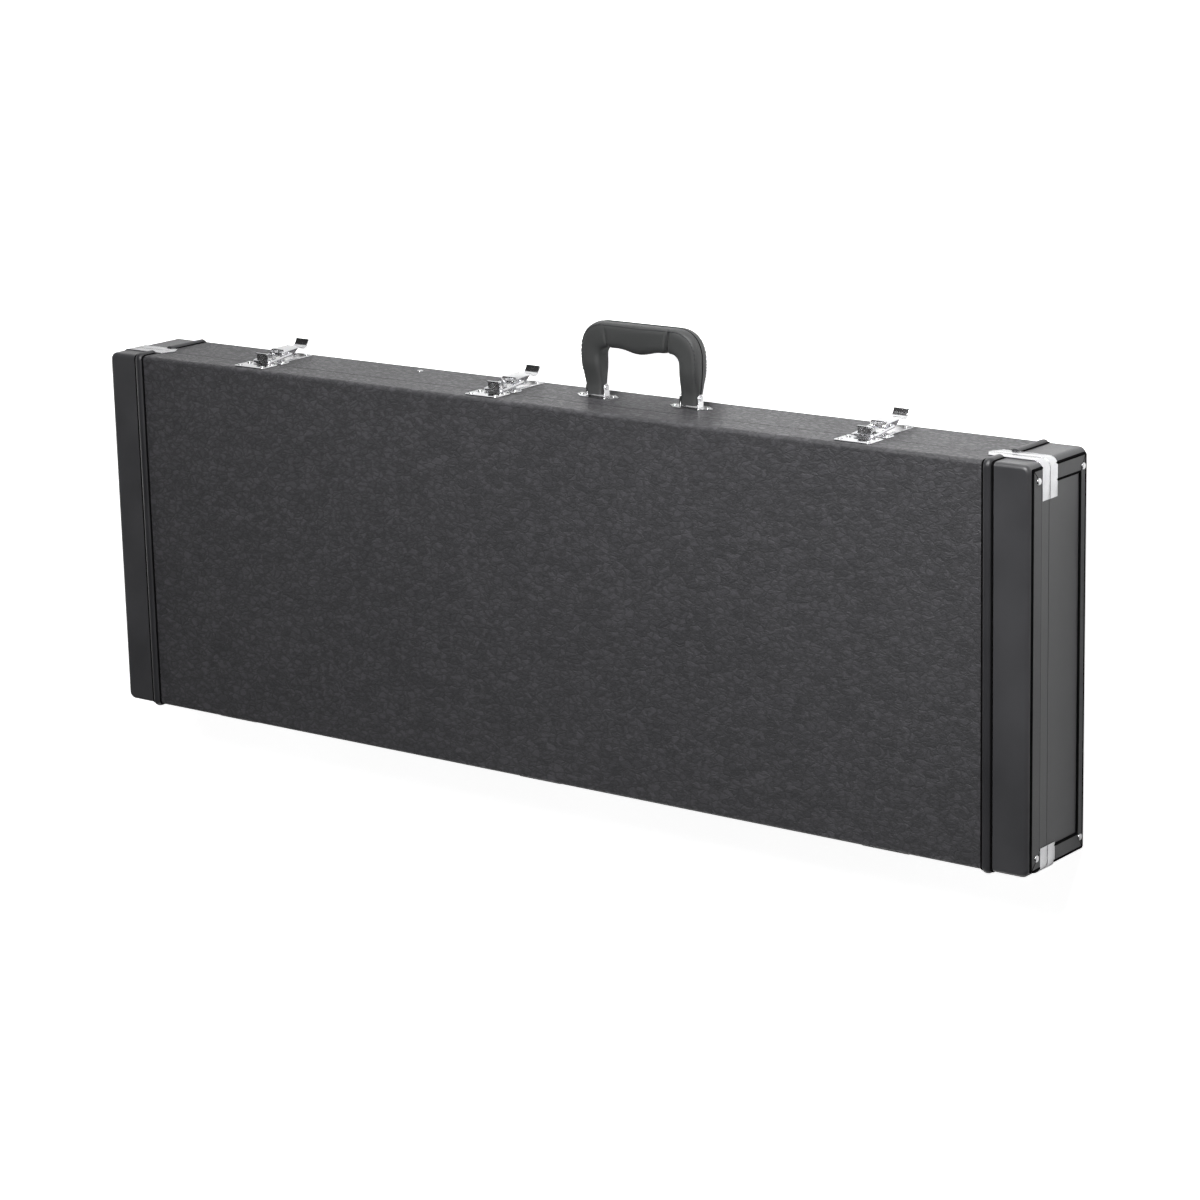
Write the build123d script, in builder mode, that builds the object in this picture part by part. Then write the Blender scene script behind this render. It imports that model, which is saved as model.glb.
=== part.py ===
from build123d import *
from math import asin, cos, sin
import os

# A rectangular hard case for an electric guitar, lying on its back with the lid up.
# X runs along the case, Y from the latches (-Y) to the hinges (+Y), Z up from the resting plane.
# The origin is the middle of the shell's footprint on that plane. Millimetres.

# Outer size of the covered shell
case_length = 1050.0
case_width = 355.0
case_height = 95.0
lid_height = 32.0
parting_gap = 0.6
corner_radius = 7.0
edge_radius = 4.0

# Boards and skins
covering = 0.8
base_wall = 5.5
lid_wall = 4.5
panel = 4.0
cavity_radius = 6.0

# End bands, welts and the folded border on the end faces
band_width = 40.0
welt_width = 8.0
welt_proud = 2.6
trim_thickness = 1.0
trim_rounding = 0.6
trim_margin = 5.5
lid_trim_width = 13.0
base_trim_width = 7.5
side_trim_width = 13.0
trim_rivet_radius = 3.2
rivet_sides = 12
rivet_taper = 35.0
trim_rivet_height = 1.8
trim_rivet_from_side = 15.0
lid_rivet_from_top = 13.0
base_rivet_from_back = 9.5

# Corner brackets, each in two halves that meet at the parting
bracket_sheet = 1.0
bracket_height = 12.0
bracket_run = 58.0
bracket_point = 7.0
bracket_leg_latch_side = 33.0
bracket_leg_hinge_side = 22.0

# Lining, padding and the accessory compartment
lip_thickness = 2.5
lip_height = 8.0
lip_depth = 14.0
lip_clearance = 1.0
lip_rounding = 0.8
lining = 1.5
lid_pad_thickness = 9.0
lid_pad_margin = 26.0
lid_pad_edge = 4.0
lid_pad_corner = 12.0
soft_gap = 0.3
bed_below_lip = 1.7
bed_floor = 6.0
lower_bout_radius = 158.0
upper_bout_radius = 136.0
lower_bout_from_band = 147.0
bout_spacing = 160.0
waist_radius = 55.0
neck_slot = 74.0
partition = 5.0
box_beyond_bout = 228.0
box_length = 138.0
box_below_bed = 10.0
box_lid = 4.0
box_side_gap = 0.6
box_tape_width = 30.0
box_tape_from_end = 12.0
box_tape = 0.6
cradle_length = 46.0
cradle_above_bed = 6.0
cradle_notch = 56.0
cradle_notch_depth = 13.0
cradle_notch_rounding = 10.4
cradle_edge = 6.0
tab_length = 26.0
tab_width = 16.0
tab_thickness = 1.2
wall_rivet_radius = 3.0
wall_rivet_height = 1.4
wall_rivet_z = 19.0

# Draw latches
left_latch_from_band = 140.0
right_latch_from_band = 138.0
middle_latch_from_box_end = 130.0
sheet = 1.2
catch_width = 38.0
catch_bottom = 2.0
catch_height = 24.0
hook_width = 14.0
hook_sheet = 1.4
hook_reach = 9.6
hook_lip = 1.7
hook_above_parting = 3.6
hook_root = 0.6
wire_radius = 1.3
wire_bend = 2.4
wire_sides = 8
fit = 0.05
pivot_out = 6.5
pivot_below = 17.0
pin_radius = 1.5
ear_radius = 3.2
ear_sheet = 1.2
ear_stem = 5.4
ear_root = 0.6
ear_gap = 10.0
flange_gap = 0.4
flange_lap = 0.7
web_above_pin = 0.3
lever_tip = 5.0
curl_height = 19.0
web_dip = 1.4
web_dip_z = 15.0
tip_out = 6.0
tip_slope = (-0.9, -0.4)
flange_sheet = 1.4
bail_below = 25.5
bar_gap = 0.2
bail_side_gap = 1.2
plate_top_width = 38.0
plate_bottom_width = 25.0
plate_top_drop = 1.5
plate_shoulder_drop = 12.0
plate_neck_drop = 18.0
plate_above_back = 9.0
plate_rounding = 2.4
plate_rivets_top = (15.2, 7.0)
plate_rivets_bottom = (7.5, 50.0)
catch_rivets_apart = (28.9, 13.4)
pin_beyond_lever = 0.6
latch_rivet_radius = 2.3
latch_rivet_height = 1.2

# Carrying handle
handle_from_box = 138.0
handle_z = 34.0
foot_spacing = 105.0
foot_width = 17.0
handle_pivot_out = 9.0
handle_reach = 71.0
handle_widest = 131.0
handle_widest_out = 42.0
shoulder_run = 27.0
leg_width_top = 21.0
grip_depth = 23.0
grip_bump = 3.4
grip_hollow = 0.6
inner_turn = 8.0
thin_from = 10.0
foot_tip_half = 2.0
foot_collar = 1.0
shoulder_pull = 1.3
grip_half_thickness = 9.5
foot_half_thickness = 6.0
handle_rounding = 3.5
handle_pin_radius = 2.0
handle_ear = 1.5
handle_ear_radius = 4.2
handle_ear_gap = 0.4
lozenge_length = 48.0
lozenge_width = 18.0
lozenge_flat = 27.0
lozenge_rounding = 2.0
plate_rivet_radius = 2.0
plate_rivet_from_middle = 18.0
handle_pin_end = 0.8

# Hinges
hinge_from_band = 105.0
hinge_width = 50.0
hinge_leaf = 24.0
hinge_axis_out = 4.0
knuckle_radius = 3.0
knuckle_length = 15.0
knuckle_gap = 0.25
hinge_pin_radius = 1.4
hinge_pin_end = 0.5
hinge_leaf_margin = 3.8
hinge_rivet_radius = 2.4
hinge_rivet_spread = 17.0
base_rivet_drop = 15.6
lid_rivet_rise = 13.2

# Feet on the hinge side
outer_foot_from_band = 45.0
inner_foot_from_band = 285.0
foot_radius = 11.0
foot_height = 9.0
foot_z = 24.0

# Places worked out from the sizes above
base_height = case_height - lid_height
lid_bottom = base_height + parting_gap
side_face = case_width / 2
end_face = case_length / 2
base_floor = covering + panel
lid_ceiling = case_height - covering - panel
base_cavity_length = case_length - 2 * (covering + base_wall)
base_cavity_width = case_width - 2 * (covering + base_wall)
lid_cavity_length = case_length - 2 * (covering + lid_wall)
lid_cavity_width = case_width - 2 * (covering + lid_wall)
floor_top = base_floor + lining
inner_half_length = base_cavity_length / 2 - lining
inner_width = base_cavity_width - 2 * lining
band_edge = end_face - band_width
bed_start = -inner_half_length
bed_height = base_height - lip_depth - bed_below_lip - floor_top
lower_bout_x = lower_bout_from_band - band_edge
upper_bout_x = lower_bout_x + bout_spacing
box_start = upper_bout_x + box_beyond_bout
box_end = box_start + box_length
box_height = bed_height - box_below_bed
bed_end = box_start - partition / 2
cradle_height = bed_height + cradle_above_bed
latch_stations = (
    band_edge - left_latch_from_band,
    box_end - middle_latch_from_box_end,
    right_latch_from_band - band_edge,
)
handle_x = box_start - handle_from_box
hinge_stations = (hinge_from_band - band_edge, 0.0, band_edge - hinge_from_band)
outer_foot = band_edge - outer_foot_from_band
inner_foot = band_edge - inner_foot_from_band
pivot_z = base_height - pivot_below
bail_z = base_height - bail_below
hook_z = lid_bottom + hook_above_parting
hook_top = hook_z + hook_sheet
bar_out = sheet + bar_gap + wire_radius
bar_z = hook_top + wire_radius + fit
catch_middle = lid_bottom + catch_bottom + catch_height / 2
plate_length = base_height - plate_above_back
lever_half = ear_gap / 2 + ear_sheet + flange_gap + flange_sheet
bail_half = lever_half + bail_side_gap + wire_radius
hinge_z = base_height + parting_gap / 2
handle_top_width = handle_widest - 2 * shoulder_run


def latch_side(x, z, out=0.0):
    """A plane on the latch side: local X along the case, local Y up, facing out."""
    return Plane(origin=(x, -side_face - out, z), x_dir=(1, 0, 0), z_dir=(0, -1, 0))


def hinge_side(x, z, out=0.0):
    """A plane on the hinge side, facing out."""
    return Plane(origin=(x, side_face + out, z), x_dir=(-1, 0, 0), z_dir=(0, 1, 0))


def end_side(end, y, z, out=0.0):
    """A plane on an end face, end is 1 or -1, facing out."""
    return Plane(origin=(end * (end_face + out), y, z), x_dir=(0, end, 0), z_dir=(end, 0, 0))


def across(x):
    """A plane square to the case's length at x: local X is Y, local Y is Z, facing +X."""
    return Plane(origin=(x, 0, 0), x_dir=(0, 1, 0), z_dir=(1, 0, 0))


def outboard(out, z):
    """A point on an across plane, given by its distance out from the latch side."""
    return (-side_face - out, z)


def half_block(inset, parting, outer_face):
    """The solid outer form of one half, drawn in by inset all round, from the parting outwards."""
    outward = 1 if outer_face > parting else -1
    with BuildPart() as block:
        with BuildSketch(Plane.XY.offset(parting)):
            RectangleRounded(case_length - 2 * inset, case_width - 2 * inset, corner_radius - inset)
        extrude(amount=outward * (abs(outer_face - parting) - inset))
        outer = block.faces().sort_by(Axis.Z)[-1 if outward > 0 else 0]
        fillet(outer.edges(), edge_radius - inset)
    return block.part


def dome(plane, radius, height):
    """A dome head standing on a plane, as a spherical cap."""
    ball = (radius**2 + height**2) / (2 * height)
    half_turn = asin(min(1.0, radius / ball)) / 2
    middle = (ball * sin(half_turn), height - ball + ball * cos(half_turn))
    section = Plane(origin=plane.origin, x_dir=plane.x_dir, z_dir=-plane.y_dir)
    with BuildPart() as head:
        with BuildSketch(section):
            with BuildLine():
                Line((0, 0), (radius, 0))
                ThreePointArc((radius, 0), middle, (0, height))
                Line((0, height), (0, 0))
            make_face()
        revolve(axis=Axis(plane.origin, plane.z_dir))
    return head.part


def rivet(plane, radius, height):
    """A small rivet head standing on a plane, with few sides because there are many of them."""
    with BuildPart() as head:
        with BuildSketch(plane):
            RegularPolygon(radius, rivet_sides)
        extrude(amount=height, taper=rivet_taper)
    return head.part


def save(piece, label):
    piece.part.label = label
    export_step(piece.part, f"parts/{label}.step")


os.makedirs("parts", exist_ok=True)

base_outer = half_block(0, base_height, 0)
base_core = half_block(covering, base_height, 0)
lid_outer = half_block(0, lid_bottom, case_height)
lid_core = half_block(covering, lid_bottom, case_height)

# Base shell: an open ply tray
with BuildPart() as base_shell:
    add(base_core)
    with BuildSketch(Plane.XY.offset(base_floor)):
        RectangleRounded(base_cavity_length, base_cavity_width, cavity_radius)
    extrude(amount=base_height - base_floor, mode=Mode.SUBTRACT)
save(base_shell, "base_shell")

# Lid shell: a shallower tray over it
with BuildPart() as lid_shell:
    add(lid_core)
    with BuildSketch(Plane.XY.offset(lid_bottom)):
        RectangleRounded(lid_cavity_length, lid_cavity_width, cavity_radius)
    extrude(amount=lid_ceiling - lid_bottom, mode=Mode.SUBTRACT)
save(lid_shell, "lid_shell")

# Grained vinyl over the long middle of each half
for label, outer, core in (("base_covering", base_outer, base_core), ("lid_covering", lid_outer, lid_core)):
    with BuildPart() as middle_skin:
        add(outer)
        add(core, mode=Mode.SUBTRACT)
        with BuildSketch(Plane.XY):
            Rectangle(2 * band_edge, 2 * case_width)
        extrude(amount=2 * case_height, mode=Mode.INTERSECT)
    save(middle_skin, label)

# Smooth vinyl end bands, one cap for each end of each half
for half, outer, core in (("base", base_outer, base_core), ("lid", lid_outer, lid_core)):
    for side, end in (("left", 1), ("right", -1)):
        with BuildPart() as end_band:
            add(outer)
            add(core, mode=Mode.SUBTRACT)
            with BuildSketch(Plane.XY):
                with Locations((end * (band_edge + band_width), 0)):
                    Rectangle(2 * band_width, 2 * case_width)
            extrude(amount=2 * case_height, mode=Mode.INTERSECT)
        save(end_band, f"{half}_end_band_{side}")

# Lid welts: a half-round bead over the joint of band and covering, bent round the lid's edges.
# They stop short of the parting, where the corner brackets cross their line.
with BuildPart() as lid_welts:
    for end in (1, -1):
        with BuildLine(across(end * band_edge)) as welt_path:
            FilletPolyline(
                (-side_face, lid_bottom + bracket_height),
                (-side_face, case_height),
                (side_face, case_height),
                (side_face, lid_bottom + bracket_height),
                radius=edge_radius,
            )
        foot = (end * band_edge, -side_face, lid_bottom + bracket_height)
        start = Plane(origin=foot, x_dir=(1, 0, 0), z_dir=(0, 0, 1))
        with BuildSketch(start):
            Ellipse(welt_width / 2, welt_proud)
            with Locations((0, welt_proud)):
                Rectangle(2 * welt_width, 2 * welt_proud, mode=Mode.SUBTRACT)
        sweep(path=welt_path.line)
save(lid_welts, "lid_welts")

# Base welts: the same bead down each long side, ending at the rounded back edge
with BuildPart() as base_welts:
    for end in (1, -1):
        for side in (1, -1):
            bead = Plane(origin=(end * band_edge, side * side_face, edge_radius), x_dir=(1, 0, 0), z_dir=(0, 0, 1))
            with BuildSketch(bead):
                Ellipse(welt_width / 2, welt_proud)
                with Locations((0, -side * welt_proud)):
                    Rectangle(2 * welt_width, 2 * welt_proud, mode=Mode.SUBTRACT)
            extrude(amount=base_height - bracket_height - edge_radius)
save(base_welts, "base_welts")

# Folded vinyl border on the end faces, in two halves that stop at the corner brackets
trim_length = case_width - 2 * trim_margin
for side, end in (("left", 1), ("right", -1)):
    lid_trim_bottom = lid_bottom + bracket_height
    lid_trim_top = case_height - trim_margin
    with BuildPart() as lid_trim:
        with BuildSketch(end_side(end, 0, (lid_trim_bottom + lid_trim_top) / 2)):
            Rectangle(trim_length, lid_trim_top - lid_trim_bottom)
            with Locations((0, -lid_trim_width)):
                Rectangle(trim_length - 2 * side_trim_width, lid_trim_top - lid_trim_bottom, mode=Mode.SUBTRACT)
        extrude(amount=trim_thickness)
        chamfer(lid_trim.faces().sort_by(Axis.X)[-1 if end > 0 else 0].edges(), trim_rounding)
    save(lid_trim, f"lid_end_trim_{side}")
    base_trim_top = base_height - bracket_height
    with BuildPart() as base_trim:
        with BuildSketch(end_side(end, 0, (trim_margin + base_trim_top) / 2)):
            Rectangle(trim_length, base_trim_top - trim_margin)
            with Locations((0, base_trim_width)):
                Rectangle(trim_length - 2 * side_trim_width, base_trim_top - trim_margin, mode=Mode.SUBTRACT)
        extrude(amount=trim_thickness)
        chamfer(base_trim.faces().sort_by(Axis.X)[-1 if end > 0 else 0].edges(), trim_rounding)
    save(base_trim, f"base_end_trim_{side}")

# Dome rivets that hold the borders down at their corners
rivet_y = side_face - trim_rivet_from_side
with BuildPart() as lid_trim_rivets:
    for end in (1, -1):
        for y in (rivet_y, -rivet_y):
            seat = end_side(end, y, case_height - lid_rivet_from_top, trim_thickness)
            add(rivet(seat, trim_rivet_radius, trim_rivet_height))
save(lid_trim_rivets, "lid_trim_rivets")

with BuildPart() as base_trim_rivets:
    for end in (1, -1):
        for y in (rivet_y, -rivet_y):
            seat = end_side(end, y, base_rivet_from_back, trim_thickness)
            add(rivet(seat, trim_rivet_radius, trim_rivet_height))
save(base_trim_rivets, "base_trim_rivets")

# Corner brackets: bent strips round each upright corner, pointed on the long side
for label, bottom in (("lid_corner_brackets", lid_bottom), ("base_corner_brackets", base_height - bracket_height)):
    inner_edge = bottom if bottom == lid_bottom else base_height
    outer_edge = bottom + bracket_height if bottom == lid_bottom else bottom
    with BuildPart() as brackets:
        for end in (1, -1):
            for side, leg in ((-1, bracket_leg_latch_side), (1, bracket_leg_hinge_side)):
                with BuildSketch(Plane.XY.offset(bottom)):
                    RectangleRounded(
                        case_length + 2 * bracket_sheet,
                        case_width + 2 * bracket_sheet,
                        corner_radius + bracket_sheet,
                    )
                    RectangleRounded(case_length, case_width, corner_radius, mode=Mode.SUBTRACT)
                    with Locations((end * end_face, side * side_face)):
                        Rectangle(2 * bracket_run, 2 * leg, mode=Mode.INTERSECT)
                extrude(amount=bracket_height)
                point = latch_side(0, 0, -bracket_sheet) if side < 0 else hinge_side(0, 0, -bracket_sheet)
                tip = end * (end_face - bracket_run) * point.x_dir.X
                back = end * (end_face - bracket_run + bracket_point) * point.x_dir.X
                with BuildSketch(point):
                    with BuildLine():
                        Polyline((tip, inner_edge), (back, outer_edge), (tip, outer_edge), close=True)
                    make_face()
                extrude(amount=3 * bracket_sheet, mode=Mode.SUBTRACT)
    save(brackets, label)

# Rim lip: a strip inside the base that stands up into the lid and keeps dust out
with BuildPart() as rim_lip:
    with BuildSketch(Plane.XY.offset(base_height - lip_depth)):
        RectangleRounded(base_cavity_length, base_cavity_width, cavity_radius)
        RectangleRounded(
            base_cavity_length - 2 * lip_thickness,
            base_cavity_width - 2 * lip_thickness,
            cavity_radius - lip_thickness,
            mode=Mode.SUBTRACT,
        )
    extrude(amount=lip_depth + lip_height)
    chamfer(rim_lip.faces().sort_by(Axis.Z)[-1].edges(), lip_rounding)
save(rim_lip, "rim_lip")

# Plush linings of both halves
with BuildPart() as base_lining:
    with BuildSketch(Plane.XY.offset(base_floor)):
        RectangleRounded(base_cavity_length, base_cavity_width, cavity_radius)
    extrude(amount=base_height - lip_depth - base_floor)
    with BuildSketch(Plane.XY.offset(floor_top)):
        RectangleRounded(2 * inner_half_length, inner_width, cavity_radius - lining)
    extrude(amount=base_height, mode=Mode.SUBTRACT)
save(base_lining, "base_lining")

lid_lining_bottom = base_height + lip_height + lip_clearance
with BuildPart() as lid_lining:
    with BuildSketch(Plane.XY.offset(lid_lining_bottom)):
        RectangleRounded(lid_cavity_length, lid_cavity_width, cavity_radius)
    extrude(amount=lid_ceiling - lid_lining_bottom)
    with BuildSketch(Plane.XY.offset(lid_lining_bottom)):
        RectangleRounded(lid_cavity_length - 2 * lining, lid_cavity_width - 2 * lining, cavity_radius - lining)
    extrude(amount=lid_ceiling - lining - lid_lining_bottom, mode=Mode.SUBTRACT)
save(lid_lining, "lid_lining")

with BuildPart() as lid_pad:
    with BuildSketch(Plane.XY.offset(lid_ceiling - lining)):
        RectangleRounded(
            lid_cavity_length - 2 * lid_pad_margin,
            lid_cavity_width - 2 * lid_pad_margin,
            lid_pad_corner,
        )
    extrude(amount=-lid_pad_thickness)
    chamfer(lid_pad.faces().sort_by(Axis.Z)[0].edges(), lid_pad_edge)
save(lid_pad, "lid_pad")

# Padded bed: foam round a generic two-bout body outline, with the neck's slot
with BuildPart() as body_bed:
    with BuildSketch(Plane.XY.offset(floor_top)):
        with Locations(((bed_start + bed_end) / 2, 0)):
            Rectangle(bed_end - bed_start, inner_width)
        fillet(vertices().sort_by(Axis.X)[:2], cavity_radius - lining)
    extrude(amount=bed_height)
    with BuildSketch(Plane.XY.offset(floor_top + bed_floor)):
        with Locations((lower_bout_x, 0)):
            Circle(lower_bout_radius)
        with Locations((upper_bout_x, 0)):
            Circle(upper_bout_radius)
        with Locations(((upper_bout_x + bed_end + neck_slot) / 2, 0)):
            Rectangle(bed_end + neck_slot - upper_bout_x, neck_slot)
        waist = [v for v in vertices() if lower_bout_x < v.X < upper_bout_x + upper_bout_radius]
        fillet([v for v in waist if abs(v.Y) > neck_slot], waist_radius)
    extrude(amount=bed_height, mode=Mode.SUBTRACT)
save(body_bed, "body_bed")

# Accessory compartment: two partitions, a board lid on top of them and a cloth tape hinge
with BuildPart() as box_partitions:
    for x in (box_start, box_end):
        with BuildSketch(Plane.XY.offset(floor_top)):
            with Locations((x, 0)):
                Rectangle(partition, inner_width)
        extrude(amount=box_height)
save(box_partitions, "box_partitions")

box_lid_z = floor_top + box_height
with BuildPart() as box_cover:
    with BuildSketch(Plane.XY.offset(box_lid_z)):
        with Locations(((box_start + box_end) / 2, 0)):
            RectangleRounded(box_end - box_start + partition, inner_width - 2 * box_side_gap, lining)
    extrude(amount=box_lid)
save(box_cover, "box_cover")

with BuildPart() as box_tape_hinge:
    with BuildSketch(Plane.XY.offset(box_lid_z + box_lid)):
        with Locations((box_start - partition / 2 + box_tape_width / 2, 0)):
            Rectangle(box_tape_width, inner_width - 2 * box_tape_from_end)
    extrude(amount=box_tape)
save(box_tape_hinge, "box_tape_hinge")

with BuildPart() as box_pull_tab:
    with BuildSketch(Plane.XY.offset(box_lid_z + box_lid)):
        with Locations((box_end - tab_length, 0)):
            SlotOverall(tab_length + tab_width, tab_width)
    extrude(amount=tab_thickness)
save(box_pull_tab, "box_pull_tab")

# Neck cradle: a foam block beyond the compartment with a round-bottomed notch
cradle_start = box_end + partition / 2
with BuildPart() as neck_cradle:
    with BuildSketch(across(cradle_start)):
        with Locations((0, floor_top + cradle_height / 2)):
            Rectangle(base_cavity_width - 2 * (lip_thickness + soft_gap), cradle_height)
        with Locations((0, floor_top + cradle_height)):
            RectangleRounded(cradle_notch, 2 * cradle_notch_depth, cradle_notch_rounding, mode=Mode.SUBTRACT)
    extrude(amount=cradle_length)
    top_edges = neck_cradle.edges().filter_by(Axis.Y).group_by(Axis.Z)[-1]
    fillet(top_edges, cradle_edge)
save(neck_cradle, "neck_cradle")

# The rivet that ties the head-side partition to the latch side
with BuildPart() as wall_rivet:
    add(rivet(latch_side(box_end, wall_rivet_z), wall_rivet_radius, wall_rivet_height))
save(wall_rivet, "wall_rivet")

# Draw latches: catch, body plate, lever with flanges, and the wire bail that it pulls
web_in = pivot_out + ear_radius + flange_gap
web_out = web_in + flange_sheet
web_top = pivot_z + web_above_pin
web_bend = lever_tip + curl_height
latch_pin_half = lever_half + pin_beyond_lever
for number, x in enumerate(latch_stations, 1):
    # Catch plate with its curled hook, on the lid
    with BuildPart() as catch:
        with BuildSketch(latch_side(x, catch_middle)):
            RectangleRounded(catch_width, catch_height, 3 * sheet)
        extrude(amount=sheet)
        with BuildSketch(across(x - hook_width / 2)):
            with BuildLine():
                Polyline(
                    outboard(hook_root, hook_z),
                    outboard(hook_reach + hook_sheet, hook_z),
                    outboard(hook_reach + hook_sheet, hook_top + hook_lip),
                    outboard(hook_reach, hook_top + hook_lip),
                    outboard(hook_reach, hook_top),
                    outboard(hook_root, hook_top),
                    close=True,
                )
            make_face()
            knee = [v for v in vertices() if v.X < -side_face - hook_reach and v.Y < hook_z + fit]
            fillet(knee, hook_sheet)
        extrude(amount=hook_width)
    save(catch, f"catch_plate_{number}")

    # Body plate with two ears, on the base
    with BuildPart() as latch_plate:
        with BuildSketch(latch_side(x, base_height)):
            with BuildLine():
                Polyline(
                    (-plate_top_width / 2, -plate_top_drop),
                    (plate_top_width / 2, -plate_top_drop),
                    (plate_top_width / 2, -plate_shoulder_drop),
                    (plate_bottom_width / 2, -plate_neck_drop),
                    (plate_bottom_width / 2, -plate_length),
                    (-plate_bottom_width / 2, -plate_length),
                    (-plate_bottom_width / 2, -plate_neck_drop),
                    (-plate_top_width / 2, -plate_shoulder_drop),
                    close=True,
                )
            make_face()
            fillet(vertices(), plate_rounding)
        extrude(amount=sheet)
        for ear in (-ear_gap / 2 - ear_sheet, ear_gap / 2):
            with BuildSketch(across(x + ear)):
                with Locations(outboard(pivot_out, pivot_z)):
                    Circle(ear_radius)
                with Locations(outboard((pivot_out + ear_root) / 2, pivot_z)):
                    Rectangle(pivot_out - ear_root, ear_stem)
                with Locations(outboard(pivot_out, pivot_z)):
                    Circle(pin_radius + fit, mode=Mode.SUBTRACT)
            extrude(amount=ear_sheet)
    save(latch_plate, f"latch_plate_{number}")

    # Lever: a web that dips, then curls out at the finger tip, with a flange on each side
    with BuildPart() as lever:
        with BuildSketch(across(x - lever_half)):
            with BuildLine():
                Line(outboard(web_in, web_top), outboard(web_out, web_top))
                Line(outboard(web_out, web_top), outboard(web_out, web_bend))
                Spline(
                    outboard(web_out, web_bend),
                    outboard(web_out - web_dip, web_dip_z),
                    outboard(web_out + tip_out, lever_tip + flange_sheet),
                    tangents=((0, -1), tip_slope),
                )
                Line(outboard(web_out + tip_out, lever_tip + flange_sheet), outboard(web_out + tip_out, lever_tip))
                Spline(
                    outboard(web_out + tip_out, lever_tip),
                    outboard(web_in - web_dip, web_dip_z),
                    outboard(web_in, web_bend),
                    tangents=((-tip_slope[0], -tip_slope[1]), (0, 1)),
                )
                Line(outboard(web_in, web_bend), outboard(web_in, web_top))
            make_face()
        extrude(amount=2 * lever_half)
        for flange in (-lever_half, lever_half - flange_sheet):
            with BuildSketch(across(x + flange)):
                with BuildLine():
                    Polyline(
                        outboard(web_in + flange_lap, web_top),
                        outboard(pivot_out, web_top),
                        outboard(pivot_out - ear_radius, pivot_z),
                        outboard(pivot_out - ear_radius, bail_z - ear_radius),
                        outboard(web_in + flange_lap, web_bend),
                        close=True,
                    )
                make_face()
                heel = [v for v in vertices() if v.X > -side_face - pivot_out and v.Y < bail_z]
                fillet(heel, ear_radius)
                with Locations(outboard(pivot_out, pivot_z)):
                    Circle(ear_radius)
                with Locations(outboard(pivot_out, pivot_z)):
                    Circle(pin_radius + fit, mode=Mode.SUBTRACT)
                with Locations(outboard(pivot_out, bail_z)):
                    Circle(wire_radius + fit, mode=Mode.SUBTRACT)
            extrude(amount=flange_sheet)
    save(lever, f"latch_lever_{number}")

    # Wire bail: its ends turn in through the lever's flanges, its bar lies in the hook
    stub = lever_half - flange_sheet
    with BuildPart() as bail:
        with BuildLine() as wire:
            FilletPolyline(
                (x - stub, -side_face - pivot_out, bail_z),
                (x - bail_half, -side_face - pivot_out, bail_z),
                (x - bail_half, -side_face - bar_out, bar_z),
                (x + bail_half, -side_face - bar_out, bar_z),
                (x + bail_half, -side_face - pivot_out, bail_z),
                (x + stub, -side_face - pivot_out, bail_z),
                radius=wire_bend,
            )
        with BuildSketch(Plane(origin=wire.line @ 0, z_dir=wire.line % 0)):
            RegularPolygon(wire_radius, wire_sides)
        sweep(path=wire.line)
    save(bail, f"latch_bail_{number}")

with BuildPart() as lever_pins:
    for x in latch_stations:
        with BuildSketch(across(x - latch_pin_half)):
            with Locations(outboard(pivot_out, pivot_z)):
                Circle(pin_radius)
        extrude(amount=2 * latch_pin_half)
save(lever_pins, "lever_pins")

# Rivets of the catches and of the latch plates
latch_rivet = rivet(Plane.XY, latch_rivet_radius, latch_rivet_height)
with BuildPart() as catch_rivets:
    for x in latch_stations:
        with Locations(latch_side(x, catch_middle, sheet)):
            with GridLocations(*catch_rivets_apart, 2, 2):
                add(latch_rivet)
save(catch_rivets, "catch_rivets")

with BuildPart() as latch_plate_rivets:
    for x in latch_stations:
        for u, drop in (plate_rivets_top, plate_rivets_bottom):
            with Locations(latch_side(x - u, base_height - drop, sheet), latch_side(x + u, base_height - drop, sheet)):
                add(latch_rivet)
save(latch_plate_rivets, "latch_plate_rivets")

# Handle plates: lozenges with two ears each
leg_offsets = (-foot_spacing / 2, foot_spacing / 2)
ear_start = foot_width / 2 + handle_ear_gap
for side, u in zip(("right", "left"), leg_offsets):
    x = handle_x + u
    with BuildPart() as handle_plate:
        with BuildSketch(latch_side(x, handle_z)):
            with BuildLine():
                Polyline(
                    (-lozenge_length / 2, 0),
                    (-lozenge_flat / 2, lozenge_width / 2),
                    (lozenge_flat / 2, lozenge_width / 2),
                    (lozenge_length / 2, 0),
                    (lozenge_flat / 2, -lozenge_width / 2),
                    (-lozenge_flat / 2, -lozenge_width / 2),
                    close=True,
                )
            make_face()
            fillet(vertices(), lozenge_rounding)
        extrude(amount=sheet)
        for start in (-ear_start - handle_ear, ear_start):
            with BuildSketch(across(x + start)):
                with Locations(outboard(handle_pivot_out, handle_z)):
                    Circle(handle_ear_radius)
                with Locations(outboard((handle_pivot_out + ear_root) / 2, handle_z)):
                    Rectangle(handle_pivot_out - ear_root, 2 * handle_ear_radius)
                with Locations(outboard(handle_pivot_out, handle_z)):
                    Circle(handle_pin_radius, mode=Mode.SUBTRACT)
            extrude(amount=handle_ear)
    save(handle_plate, f"handle_plate_{side}")

with BuildPart() as handle_pins:
    for u in leg_offsets:
        pin_half = ear_start + handle_ear + handle_pin_end
        with BuildSketch(across(handle_x + u - pin_half)):
            with Locations(outboard(handle_pivot_out, handle_z)):
                Circle(handle_pin_radius)
        extrude(amount=2 * pin_half)
save(handle_pins, "handle_pins")

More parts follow.
